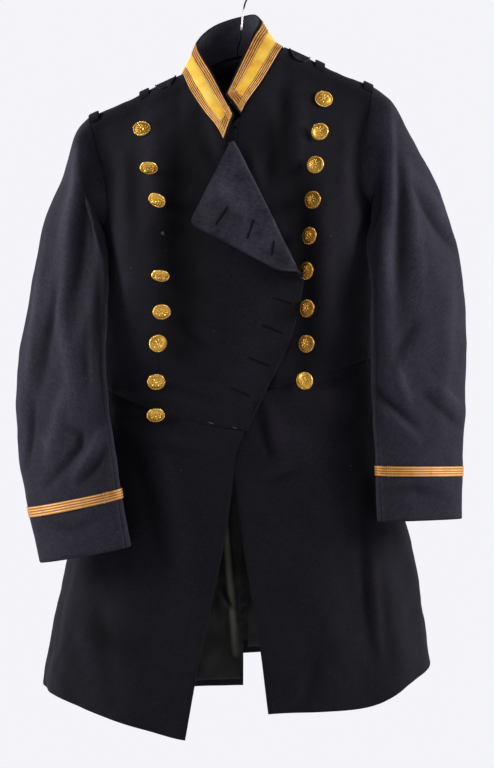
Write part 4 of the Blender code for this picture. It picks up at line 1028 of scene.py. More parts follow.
LINING_CREASES = (
    (1, 3.0, 5, (224, 520), (228.5, 590), (234, 670)),
    (1, -3.0, 8, (216, 540), (214, 600), (212, 670)),
    (1, -2.0, 4, (220, 600), (224, 612), (232, 622)),
    (1, -3.5, 14, (250, 480), (252, 560), (254, 650)),
)
# Folds of the lining: the angle of each, its breadth, its depth and where it starts
LINING_FOLDS = {
    RIGHT: ((154, 3.0, 2.6, 420), (163, 2.4, 2.2, 460), (171, 2.8, 3.0, 440), (178, 2.0, 2.0, 500)),
    LEFT: ((155, 2.6, 2.2, 430), (164, 3.0, 2.8, 470), (172, 2.2, 2.4, 440)),
}
# How far the folds sway and on what length, over what length they start, and their share that is seen
LINING_SWAY, LINING_SWAY_LENGTH, LINING_START_LENGTH, LINING_SHARE = 0.8, 70, 60, 0.5

# Points along the hanger and round it, along the hook's wire and round it, the wire's radius, and the share
# of their radius with which the ends of both are closed
HANGER_POINTS, HANGER_SIDES = 90, 20
HOOK_POINTS, HOOK_SIDES = 160, 16
HOOK_WIRE = 1.05
TUBE_END = 0.02

# The camera's place, its lens, the view's size, and millimetres to a step of the view at the hook
CAMERA = (11.5, -3000.0, -530.0)
CAMERA_LENS = 109.9
SENSOR_HEIGHT = 36.0
VIEW_SIZE = (494, 768)
VIEW_SCALE = 1.28
# The stage, in metres: the floor's radius, where the two soft lights stand, what they aim at and their size
FLOOR_RADIUS, FLOOR_SIDES = 2.4, 96
SOFTBOX, SOFTBOX_AIM, SOFTBOX_SIZE = (2.2, -0.35, 0.25), (0.0, 0.0, -0.45), 1.2


def linear(code):
    """An sRGB colour code as linear red, green and blue."""
    parts = [int(code[i : i + 2], 16) / 255 for i in (1, 3, 5)]
    return tuple(c / 12.92 if c <= 0.04045 else ((c + 0.055) / 1.055) ** 2.4 for c in parts)


def paint(value):
    """A grey value, a colour code or a colour's three parts as red, green, blue and alpha."""
    if isinstance(value, float):
        return (value, value, value, 1.0)
    return (*(linear(value) if isinstance(value, str) else value), 1.0)


def wave_scale(period):
    """The scale of a wave texture whose bands lie this many millimetres apart."""
    return math.tau / 20 / (period * MM)


def add(tree, kind, inputs=None, stops=(), **settings):
    """Adds a node with its settings and links. Each input is a value or another node's socket, and a colour
    ramp's stops are each a place and a colour. A colour is anything that paint takes."""
    node = tree.nodes.new(kind)
    for key, value in settings.items():
        setattr(node, key, value)
    for key, value in (inputs or {}).items():
        socket = node.inputs[key]
        if isinstance(value, bpy.types.NodeSocket):
            tree.links.new(value, socket)
        else:
            socket.default_value = paint(value) if socket.type == "RGBA" else value
    if stops:
        elements = node.color_ramp.elements
        elements.remove(elements[-1])
        elements[0].position, elements[0].color = stops[0][0], paint(stops[0][1])
        for place, colour in stops[1:]:
            elements.new(place).color = paint(colour)
    return node


def new_material(name, sockets):
    """A material whose shader has these constants on its own sockets."""
    material = bpy.data.materials.new(name)
    material.use_nodes = True
    shader = material.node_tree.nodes["Principled BSDF"]
    for key, value in sockets.items():
        shader.inputs[key].default_value = value
    return material, material.node_tree


def connected(material, colour, rough=None, normal=None):
    """The material with its colour, roughness and bump joined to its shader."""
    tree = material.node_tree
    shader = tree.nodes["Principled BSDF"]
    for key, socket in (("Base Color", colour), ("Roughness", rough), ("Normal", normal)):
        if socket is not None:
            tree.links.new(socket, shader.inputs[key])
    return material


def broadcloth(name, body, deep, warm):
    """Wool broadcloth, milled and napped: a felted face with hardly a weave, short soft streaks of
    nap, cloudy shade where it has been handled, pale lint, painted shade along the turned edges, and
    painted shade in the folds of the creases with painted light on their ridges."""
    material, tree = new_material(
        name,
        {
            "Sheen Weight": 0.1, "Sheen Roughness": 0.45, "Sheen Tint": paint("#9a9fc0"),
            "Specular IOR Level": 0.1,
        },
    )
    place = add(tree, "ShaderNodeTexCoord").outputs["Object"]
    cut = add(tree, "ShaderNodeUVMap", uv_map="cut").outputs["UV"]
    cloud = add(
        tree, "ShaderNodeTexNoise", {"Vector": place, "Scale": 16.0, "Detail": 4.0, "Roughness": 0.62},
    ).outputs["Fac"]
    # Streaks 7 mm across the piece and 1.5 mm down it
    nap = add(
        tree, "ShaderNodeTexNoise",
        {
            "Vector": add(
                tree, "ShaderNodeMapping", {"Vector": cut, "Scale": (1 / 0.007, 1 / 0.0015, 1.0)},
            ).outputs[0],
            "Scale": 1.0, "Detail": 3.0,
        },
    ).outputs["Fac"]
    fuzz = add(
        tree, "ShaderNodeTexNoise", {"Vector": place, "Scale": 900.0, "Detail": 3.0, "Roughness": 0.7},
    ).outputs["Fac"]
    # Threads are 0.5 mm apart in the real cloth and are drawn at 1.5 mm so that they show
    across, down = (
        add(
            tree, "ShaderNodeTexWave",
            {"Vector": cut, "Scale": wave_scale(1.5), "Distortion": 1.1, "Detail Scale": 2.0},
            bands_direction=way,
        ).outputs["Fac"] for way in ("X", "Y")
    )
    weave = add(tree, "ShaderNodeMath", {0: across, 1: down}, operation="MULTIPLY").outputs[0]
    shade = add(
        tree, "ShaderNodeMix",
        {
            0: add(tree, "ShaderNodeValToRGB", {"Fac": cloud}, ((0.34, 0.0), (0.68, 1.0))).outputs["Color"],
            6: deep, 7: body,
        },
        data_type="RGBA",
    ).outputs[2]
    shade = add(
        tree, "ShaderNodeMix",
        {
            0: add(tree, "ShaderNodeValToRGB", {"Fac": nap}, ((0.4, 0.0), (0.7, 0.55))).outputs["Color"],
            6: shade, 7: warm,
        },
        data_type="RGBA",
    ).outputs[2]
    grain = add(tree, "ShaderNodeTexNoise", {"Vector": place, "Scale": 330.0}).outputs["Fac"]
    shade = add(
        tree, "ShaderNodeMix",
        {
            0: 0.8, 6: shade,
            7: add(tree, "ShaderNodeValToRGB", {"Fac": grain}, ((0.36, 0.68), (0.64, 1.0))).outputs["Color"],
        },
        data_type="RGBA", blend_type="MULTIPLY",
    ).outputs[2]
    # Painted shade in the folds and painted light on the ridges: the colour is scaled by the height of the
    # crease
    shade = add(
        tree, "ShaderNodeVectorMath",
        {
            0: shade,
            "Scale": add(
                tree, "ShaderNodeMath",
                {
                    0: add(tree, "ShaderNodeAttribute", attribute_name="fold").outputs["Fac"], 1: CREASE_LIGHT_AND_SHADE,
                    2: 1.0,
                },
                operation="MULTIPLY_ADD",
            ).outputs[0],
        },
        operation="SCALE",
    ).outputs[0]
    shade = add(
        tree, "ShaderNodeMix",
        {
            0: 0.32, 6: shade,
            7: add(tree, "ShaderNodeValToRGB", {"Fac": weave}, ((0.1, 0.55), (0.8, 1.0))).outputs["Color"],
        },
        data_type="RGBA", blend_type="MULTIPLY",
    ).outputs[2]
    spots = add(tree, "ShaderNodeTexVoronoi", {"Vector": place, "Scale": 75.0}).outputs
    few = add(tree, "ShaderNodeMath", {0: spots["Color"], 1: 0.93}, operation="GREATER_THAN").outputs[0]
    small = add(tree, "ShaderNodeMath", {0: spots["Distance"], 1: 0.06}, operation="LESS_THAN").outputs[0]
    shade = add(
        tree, "ShaderNodeMix",
        {
            0: add(tree, "ShaderNodeMath", {0: few, 1: small}, operation="MULTIPLY").outputs[0], 6: shade,
            7: "#57555d",
        },
        data_type="RGBA",
    ).outputs[2]
    # Painted shade along the turned edges, patchy with the fuzz
    shade = add(
        tree, "ShaderNodeMix",
        {
            0: add(
                tree, "ShaderNodeMath",
                {0: add(tree, "ShaderNodeAttribute", attribute_name="rubbed").outputs["Fac"], 1: fuzz},
                operation="MULTIPLY",
            ).outputs[0],
            6: shade, 7: "#111014",
        },
        data_type="RGBA",
    ).outputs[2]
    rough = add(tree, "ShaderNodeValToRGB", {"Fac": nap}, ((0.2, 0.84), (0.8, 0.98))).outputs["Color"]
    return connected(
        material, shade, rough,
        add(
            tree, "ShaderNodeBump",
            {
                "Strength": 0.4, "Distance": 0.35 * MM, "Height": fuzz,
                "Normal": add(
                    tree, "ShaderNodeBump", {"Strength": 0.35, "Distance": 0.3 * MM, "Height": weave},
                ).outputs[0],
            },
        ).outputs[0],
    )


def gold_lace():
    """Gold lace, woven from gilt wire on a silk core: bright lengthwise cords with brown gaps, slanting
    threads across them, and here and there a darker join where the wire has worn. The brown of the gaps
    is partly the core's own and partly painted shade between and beside the cords."""
    material, tree = new_material("woven gold lace", {"Metallic": 0.25, "Roughness": 0.42})
    cut = add(tree, "ShaderNodeUVMap", uv_map="cut").outputs["UV"]
    # Threads of 0.35 mm, drawn at 0.9 mm so that they show
    slant = add(
        tree, "ShaderNodeTexWave",
        {"Vector": cut, "Scale": wave_scale(0.9), "Distortion": 1.0, "Detail": 1.0},
        bands_direction="DIAGONAL", wave_profile="TRI",
    ).outputs["Fac"]
    wander = add(tree, "ShaderNodeTexNoise", {"Vector": cut, "Scale": 140.0, "Detail": 3.0}).outputs["Fac"]
    base = add(tree, "ShaderNodeMix", {0: wander, 6: "#b27020", 7: "#d69a3e"}, data_type="RGBA").outputs[2]
    base = add(
        tree, "ShaderNodeMix",
        {
            0: 0.45, 6: base,
            7: add(tree, "ShaderNodeValToRGB", {"Fac": slant}, ((0.0, 0.45), (0.7, 1.0))).outputs["Color"],
        },
        data_type="RGBA", blend_type="MULTIPLY",
    ).outputs[2]
    # The brown gaps: the core's own brown and painted shade between and beside the cords
    base = add(
        tree, "ShaderNodeMix",
        {0: add(tree, "ShaderNodeAttribute", attribute_name="gap").outputs["Fac"], 6: base, 7: "#6e4417"},
        data_type="RGBA",
    ).outputs[2]
    # A join every 29 mm
    along = add(tree, "ShaderNodeSeparateXYZ", {"Vector": cut}).outputs["X"]
    phase = add(
        tree, "ShaderNodeMath",
        {0: add(tree, "ShaderNodeMath", {0: along, 1: 1 / (29.0 * MM)}, operation="MULTIPLY").outputs[0]},
        operation="FRACT",
    ).outputs[0]
    joins = add(
        tree, "ShaderNodeValToRGB", {"Fac": phase}, ((0.0, 0.75), (0.03, 0.75), (0.05, 0.0), (1.0, 0.0)),
    ).outputs["Color"]
    base = add(tree, "ShaderNodeMix", {0: joins, 6: base, 7: "#6b4520"}, data_type="RGBA").outputs[2]
    rough = add(tree, "ShaderNodeValToRGB", {"Fac": wander}, ((0.2, 0.34), (0.8, 0.56))).outputs["Color"]
    return connected(
        material, base, rough,
        add(tree, "ShaderNodeBump", {"Strength": 0.6, "Distance": 0.25 * MM, "Height": slant}).outputs[0],
    )


def lace_cord():
    """The raised cords of the lace: gilt wire wound round silk, pinkish where the gilding has worn."""
    material, tree = new_material("gilt wire cord", {"Metallic": 0.25, "Roughness": 0.4})
    place = add(tree, "ShaderNodeTexCoord").outputs["Object"]
    worn = add(tree, "ShaderNodeTexNoise", {"Vector": place, "Scale": 95.0, "Detail": 3.0}).outputs["Fac"]
    base = add(
        tree, "ShaderNodeValToRGB", {"Fac": worn}, ((0.3, "#bd7f34"), (0.52, "#dca152"), (0.72, "#d6a070")),
    ).outputs["Color"]
    return connected(
        material, base,
        normal=add(
            tree, "ShaderNodeBump",
            {
                "Strength": 0.5, "Distance": 0.2 * MM,
                "Height": add(tree, "ShaderNodeTexNoise", {"Vector": place, "Scale": 1500.0}).outputs["Fac"],
            },
        ).outputs[0],
    )


def yellow_silk():
    """Yellow silk facing: a smooth cut face that takes light evenly, paler where it bulges and stained here
    and there."""
    material, tree = new_material(
        "yellow silk facing",
        {"Sheen Weight": 0.15, "Sheen Roughness": 0.4, "Specular IOR Level": 0.35, "Roughness": 0.6},
    )
    place = add(tree, "ShaderNodeTexCoord").outputs["Object"]
    cloud = add(tree, "ShaderNodeTexNoise", {"Vector": place, "Scale": 42.0, "Detail": 4.0}).outputs["Fac"]
    base = add(
        tree, "ShaderNodeValToRGB", {"Fac": cloud}, ((0.3, "#f2ad30"), (0.5, "#fdc843"), (0.72, "#ffda62")),
    ).outputs["Color"]
    stain = add(
        tree, "ShaderNodeValToRGB",
        {"Fac": add(tree, "ShaderNodeTexNoise", {"Vector": place, "Scale": 130.0}).outputs["Fac"]},
        ((0.68, 0.0), (0.78, 0.5)),
    ).outputs["Color"]
    base = add(tree, "ShaderNodeMix", {0: stain, 6: base, 7: "#c98a22"}, data_type="RGBA").outputs[2]
    # Threads of 0.3 mm, drawn at 1 mm so that they show
    weave = add(
        tree, "ShaderNodeTexWave",
        {
            "Vector": add(tree, "ShaderNodeUVMap", uv_map="cut").outputs["UV"], "Scale": wave_scale(1.0),
            "Distortion": 0.8,
        },
        bands_direction="Y",
    ).outputs["Fac"]
    return connected(
        material, base,
        normal=add(
            tree, "ShaderNodeBump", {"Strength": 0.3, "Distance": 0.15 * MM, "Height": weave},
        ).outputs[0],
    )


def gilt_brass():
    """Stamped brass with mercury gilding: bright on the high parts, brown in the low ones with dirt and
    painted shade.
    """
    material, tree = new_material("gilt stamped brass", {"Metallic": 1.0, "Roughness": 0.3})
    dirt_and_shade = add(
        tree, "ShaderNodeTexNoise",
        {"Vector": add(tree, "ShaderNodeTexCoord").outputs["Object"], "Scale": 420.0, "Detail": 3.0},
    ).outputs["Fac"]
    base = add(
        tree, "ShaderNodeValToRGB", {"Fac": dirt_and_shade}, ((0.32, "#e2b048"), (0.62, "#f6d476")),
    ).outputs["Color"]
    # Dirt and painted shade in the low parts, patchy with the noise
    held = add(
        tree, "ShaderNodeMath",
        {
            0: add(tree, "ShaderNodeAttribute", attribute_name="low").outputs["Fac"],
            1: add(tree, "ShaderNodeValToRGB", {"Fac": dirt_and_shade}, ((0.3, 0.55), (0.6, 1.0))).outputs["Color"],
        },
        operation="MULTIPLY",
    ).outputs[0]
    base = add(tree, "ShaderNodeMix", {0: held, 6: base, 7: "#b98535"}, data_type="RGBA").outputs[2]
    # Buttons turned away into shade get painted shade: dark brown, darker still in their low parts
    base = add(
        tree, "ShaderNodeMix",
        {
            0: add(tree, "ShaderNodeAttribute", attribute_name="tarnish").outputs["Fac"], 6: base,
            7: add(tree, "ShaderNodeMix", {0: held, 6: "#b07d33", 7: "#2c1a0c"}, data_type="RGBA").outputs[2],
        },
        data_type="RGBA",
    ).outputs[2]
    return connected(
        material, base, add(tree, "ShaderNodeMix", {0: held, 6: 0.27, 7: 0.5}, data_type="RGBA").outputs[2],
        add(tree, "ShaderNodeBump", {"Strength": 0.25, "Distance": 0.12 * MM, "Height": dirt_and_shade}).outputs[0],
    )


def lining_silk():
    """Black silk lining gone green with age: a smooth satin face with faint lengthwise shimmer painted into
    its colour, painted sheen on the ridges of its folds and painted shade in the folds.
    """
    material, tree = new_material("black silk lining", {"Specular IOR Level": 0.22})
    cut = add(tree, "ShaderNodeUVMap", uv_map="cut").outputs["UV"]
    # Streaks 6 mm wide and 120 mm long
    streak = add(
        tree, "ShaderNodeTexNoise",
        {
            "Vector": add(
                tree, "ShaderNodeMapping", {"Vector": cut, "Scale": (1 / 0.006, 1 / 0.12, 1.0)},
            ).outputs[0],
            "Scale": 1.0, "Detail": 4.0,
        },
    ).outputs["Fac"]
    # The streaks lighten the colour lengthwise: a painted shimmer
    base = add(
        tree, "ShaderNodeValToRGB", {"Fac": streak}, ((0.3, "#050604"), (0.52, "#090a07"), (0.75, "#14160f")),
    ).outputs["Color"]
    smear = add(tree, "ShaderNodeTexNoise", {"Vector": cut, "Scale": 34.0, "Detail": 3.0}).outputs["Fac"]
    base = add(
        tree, "ShaderNodeMix",
        {
            0: add(tree, "ShaderNodeValToRGB", {"Fac": smear}, ((0.6, 0.0), (0.72, 0.8))).outputs["Color"],
            6: base, 7: "#040504",
        },
        data_type="RGBA",
    ).outputs[2]
    # Painted sheen on the ridges of the folds and creases, and painted shade in the folds
    fold = add(tree, "ShaderNodeAttribute", attribute_name="fold").outputs["Fac"]
    base = add(tree, "ShaderNodeMix", {0: fold, 6: base, 7: "#7b7f70"}, data_type="RGBA").outputs[2]
    base = add(
        tree, "ShaderNodeVectorMath",
        {
            0: base,
            "Scale": add(
                tree, "ShaderNodeMath", {0: fold, 1: 0.85, 2: 1.0}, operation="MULTIPLY_ADD", use_clamp=True,
            ).outputs[0],
        },
        operation="SCALE",
    ).outputs[0]
    rough = add(tree, "ShaderNodeValToRGB", {"Fac": streak}, ((0.3, 0.34), (0.7, 0.5))).outputs["Color"]
    # Threads of 0.15 mm, drawn at 0.8 mm so that they show
    twill = add(
        tree, "ShaderNodeTexWave", {"Vector": cut, "Scale": wave_scale(0.8), "Distortion": 0.6},
        bands_direction="DIAGONAL",
    ).outputs["Fac"]
    return connected(
        material, base, rough,
        add(tree, "ShaderNodeBump", {"Strength": 0.2, "Distance": 0.1 * MM, "Height": twill}).outputs[0],
    )


def plain_thread(name, code, rough):
    """Twisted silk thread: the twist breaks the light into fine slanting touches."""
    material, tree = new_material(name, {"Specular IOR Level": 0.1, "Roughness": rough})
    twist = add(
        tree, "ShaderNodeTexNoise",
        {"Vector": add(tree, "ShaderNodeTexCoord").outputs["Object"], "Scale": 1300.0},
    ).outputs["Fac"]
    base = add(
        tree, "ShaderNodeMix",
        {
            0: 0.55, 6: add(tree, "ShaderNodeMix", {0: twist, 6: 0.0, 7: code}, data_type="RGBA").outputs[2],
            7: code,
        },
        data_type="RGBA",
    ).outputs[2]
    return connected(
        material, base,
        normal=add(
            tree, "ShaderNodeBump", {"Strength": 0.4, "Distance": 0.15 * MM, "Height": twist},
        ).outputs[0],
    )


def black_wood():
    """Turned wood under black paint: grain still shows through the gloss."""
    material, tree = new_material("black painted wood", {"Specular IOR Level": 0.08})
    lines = add(
        tree, "ShaderNodeTexNoise",
        {
            "Vector": add(
                tree, "ShaderNodeMapping",
                {"Vector": add(tree, "ShaderNodeTexCoord").outputs["Object"], "Scale": (30.0, 420.0, 420.0)},
            ).outputs[0],
            "Scale": 1.0, "Detail": 4.0,
        },
    ).outputs["Fac"]
    base = add(
        tree, "ShaderNodeValToRGB", {"Fac": lines}, ((0.35, "#060607"), (0.7, "#0f0e10")),
    ).outputs["Color"]
    rough = add(tree, "ShaderNodeValToRGB", {"Fac": lines}, ((0.3, 0.7), (0.7, 0.9))).outputs["Color"]
    return connected(
        material, base, rough,
        add(tree, "ShaderNodeBump", {"Strength": 0.3, "Distance": 0.2 * MM, "Height": lines}).outputs[0],
    )


def drawn_wire():
    """Drawn steel wire: blackened on the bend, bare and bright down by the neck, painted black below that as
    painted shade inside the collar, with fine lines.
    """
    material, tree = new_material("drawn steel wire", {"Metallic": 1.0, "Roughness": 0.3})
    place = add(tree, "ShaderNodeTexCoord").outputs["Object"]
    fine = add(tree, "ShaderNodeTexNoise", {"Vector": place, "Scale": 700.0}).outputs["Fac"]
    # From 100 mm below the hook's bend up to it
    height = add(
        tree, "ShaderNodeMapRange",
        {
            "Value": add(tree, "ShaderNodeSeparateXYZ", {"Vector": place}).outputs["Z"], "From Min": -0.1,
            "From Max": 0.0,
        },
    ).outputs[0]
    # Black on the bend, where the wire is blackened, and black below the bare part as painted shade inside
    # the collar
    black = add(
        tree, "ShaderNodeValToRGB", {"Fac": height}, ((0.22, 1.0), (0.27, 0.0), (0.47, 0.0), (0.52, 1.0)),
    ).outputs["Color"]
    base = add(
        tree, "ShaderNodeMix",
        {
            0: black,
            6: add(tree, "ShaderNodeMix", {0: fine, 6: "#86807e", 7: "#a8a19e"}, data_type="RGBA").outputs[2],
            7: "#0c0b0d",
        },
        data_type="RGBA",
    ).outputs[2]
    return connected(
        material, base, add(tree, "ShaderNodeMix", {0: black, 6: 0.24, 7: 0.45}, data_type="RGBA").outputs[2],
        add(tree, "ShaderNodeBump", {"Strength": 0.2, "Distance": 0.05 * MM, "Height": fine}).outputs[0],
    )


def pale_floor(colour):
    """A painted studio floor, with a faint mottle so that it doesn't look printed."""
    material, tree = new_material("pale painted floor", {"Roughness": 0.85})
    mottle = add(
        tree, "ShaderNodeTexNoise",
        {"Vector": add(tree, "ShaderNodeTexCoord").outputs["Object"], "Scale": 3.0, "Detail": 5.0},
    ).outputs["Fac"]
    return connected(
        material,
        add(
            tree, "ShaderNodeValToRGB", {"Fac": mottle}, ((0.3, [c * 0.93 for c in colour]), (0.7, colour))
        ).outputs["Color"],
    )


# Cloths of navy wool, with the properties that give the lit cloth, the cloth in shade and the nap's streaks
CLOTHS = {
    "cloth": ("navy wool broadcloth", "colour", "deep_colour", "nap_colour"),
    # The sleeves have the body's cloth painted lighter: painted light, as the sleeves catch more light than
    # the body
    "sleeve": ("navy wool broadcloth, sleeves", "sleeve_colour", "sleeve_deep", "sleeve_nap"),
    # The facing is the cloth's greyer reverse, painted lighter still as painted light on the turned-back
    # corner
    "facing": ("navy broadcloth facing", "facing_colour", "colour", "facing_colour"),
}
# Silk threads and other small things of fibre, with their colour and roughness
THREADS = {
    "dark thread": ("dark silk thread", "#151318", 0.8),
    "pale thread": ("faded silk thread", "#5d5962", 0.8),
    "lace thread": ("yellow silk thread", "#e8cf9a", 0.8),
    "hole thread": ("black silk twist", "#1b191d", 0.6),
    "slit": ("cut edge in shadow", "#08070a", 0.8),
    "lint": ("lint", "#7d7b84", 0.9),
}
OTHER_FINISHES = {
    "lace": gold_lace, "cord": lace_cord, "field": yellow_silk, "gilt": gilt_brass, "lining": lining_silk,
    "wood": black_wood, "wire": drawn_wire,
}
FINISHES = {}


def finish(key):
    """Each material is made once, when a piece first needs it."""
    if key in CLOTHS and key not in FINISHES:
        name, *colours = CLOTHS[key]
        FINISHES[key] = broadcloth(name, *(getattr(bpy.context.scene.coat_cloth, c) for c in colours))
    elif key in THREADS and key not in FINISHES:
        FINISHES[key] = plain_thread(*THREADS[key])
    elif key not in FINISHES:
        FINISHES[key] = OTHER_FINISHES[key]()
    return FINISHES[key]


def seen(points):
    """Places across the view as x and height in millimetres, on a plane through the chest."""
    return np.array(points, float) * (VIEW_STEP, -VIEW_STEP) + VIEW_CORNER


def crease_rise(points, normal, rows):
    """How far the listed creases raise the cloth at these points."""
    rise = np.zeros(points.shape[:-1])
    flat = points[..., [0, 2]]
    for face, height, width, *line in rows:
        path = seen(line)
        near, share = np.full(rise.shape, np.inf), np.zeros(rise.shape)
        for i, (a, b) in enumerate(zip(path[:-1], path[1:])):
            way = b - a
            t = np.clip((flat - a) @ way / (way @ way), 0, 1)
            gap = np.linalg.norm(flat - a - t[..., None] * way, axis=-1)
            share = np.where(gap < near, (i + t) / (len(path) - 1), share)
            near = np.minimum(near, gap)
        fade = np.sin(math.pi * mix(*CREASE_ENDS, share)) ** CREASE_BLUNT
        facing = ease(face * normal[..., 1] * CREASE_TURN)
        rise = rise + height * bell(near, width) * fade * facing
    return rise


def swell_rise(points, strength, seed):
    """Soft unevenness of the cloth, the same on each run."""
    rng = np.random.default_rng(seed)
    rise = np.zeros(points.shape[:-1])
    for height, length in SWELLS:
        for _ in range(SWELLS_OF_EACH):
            way = unit(rng.normal(size=3)) * math.tau / (length * rng.uniform(*SWELL_SPREAD))
            rise = rise + height / math.sqrt(SWELLS_OF_EACH) * np.sin(points @ way + rng.uniform(0, math.tau))
    return rise * strength


def edge_distances(points):
    """The distance of each point of a grid from its four edges, along the cloth."""
    across = np.linalg.norm(np.diff(points, axis=1), axis=-1)
    down = np.linalg.norm(np.diff(points, axis=0), axis=-1)
    u = np.pad(np.cumsum(across, axis=1), ((0, 0), (1, 0)))
    v = np.pad(np.cumsum(down, axis=0), ((1, 0), (0, 0)))
    return {"first": u, "last": u[:, -1:] - u, "top": v, "bottom": v[-1:] - v}


def crowded(count, start=True, end=True):
    """Shares from 0 to 1 that lie close together at the ends, where cloth rolls into a seam or an edge."""
    low = np.array(CROWDING if start else CROWDING[:1])
    high = 1 - np.array(CROWDING if end else CROWDING[:1])[::-1]
    return np.concatenate([low, np.linspace(low[-1], high[0], count + 1)[1:-1], high])


def grid_of(name, first, last, *lines):
    """Angles and distances down of a piece between its two side edges, from its top line to its bottom line
    and over the lines between them."""
    *rows, columns = GRIDS[name]
    u = crowded(columns)[None, :]

    def angle_on(down):
        return mix(first(down), last(down), u)

    def line_run(line, guess):
        down = np.full_like(u, guess)
        for _ in range(EDGE_ROUNDS):
            down = line(angle_on(down))
        return run_of(np.maximum(down, down_of(TOP_RUN)))

    runs = []
    for number, (top, bottom, count) in enumerate(zip(lines, lines[1:], rows)):
        v = crowded(count, number == 0, number == len(rows) - 1)[:, None]
        runs.append(mix(line_run(top, GUESS_TOP), line_run(bottom, GUESS_BOTTOM), v)[min(number, 1) :])
    down = down_of(np.concatenate(runs))
    return angle_on(down), down


def shown(name, data):
    """A new object of the scene for a mesh, a light or a camera."""
    thing = bpy.data.objects.new(name, data)
    bpy.context.scene.collection.objects.link(thing)
    return thing


def build_mesh(name, points, faces, finishes, index, cut, attributes):
    """A closed mesh in metres from millimetre points and four-sided faces, turned outwards, at the origin."""
    points = points * MM
    triangles = np.concatenate([faces[:, [0, 1, 2]], faces[:, [0, 2, 3]]])
    a, b, c = (points[corner] - points.mean(0) for corner in triangles.T)
    if np.einsum("ij,ij->i", a, np.cross(b, c)).sum() < 0:
        faces = faces[:, ::-1]
    mesh = bpy.data.meshes.new(name)
    mesh.from_pydata(points.tolist(), [], faces.tolist())
    for key in finishes:
        mesh.materials.append(finish(key))
    mesh.polygons.foreach_set("material_index", np.asarray(index, np.int32))
    loops = np.zeros(len(mesh.loops), np.int32)
    mesh.loops.foreach_get("vertex_index", loops)
    place = (cut[loops] * MM).astype(np.float32).ravel()
    mesh.uv_layers.new(name="cut").data.foreach_set("uv", place)
    for key, values in attributes.items():
        mesh.attributes.new(key, "FLOAT", "POINT").data.foreach_set("value", values.astype(np.float32))
    mesh.shade_smooth()
    mesh.set_sharp_from_angle(angle=math.radians(SHARP))
    mesh.validate()
    return shown(name, mesh)


MADE = {}


def hang_on(piece, slot, *nodes):
    """Every piece rides on the one body and may stand for solids."""
    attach(piece, "root")
    if nodes:
        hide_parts(*nodes)
    return piece


def wall_faces(rows, columns, ring=False):
    """Faces of a closed wall between two grids: the face, the back and the rims, and which is which."""
    spans = columns if ring else columns - 1
    other = rows * columns
    i, j = np.meshgrid(np.arange(rows - 1), np.arange(spans), indexing="ij")
    n = (j + 1) % columns
    face = np.stack([i * columns + j, i * columns + n, (i + 1) * columns + n, (i + 1) * columns + j], -1)
    face = face.reshape(-1, 4)
    back = other + face[:, [0, 3, 2, 1]]
    i, j = np.arange(rows - 1), np.arange(spans)
    n = (j + 1) % columns
    last = (rows - 1) * columns
    edges = [(n, j), (last + j, last + n)]
    if not ring:
        top, under = i * columns, (i + 1) * columns
        edges += [(top, under), (under + columns - 1, top + columns - 1)]
    rims = np.concatenate([np.stack([a, b, other + b, other + a], -1) for a, b in edges])
    kind = np.repeat([0, 1, 2], [len(face), len(back), len(rims)])
    return np.concatenate([face, back, rims]), kind


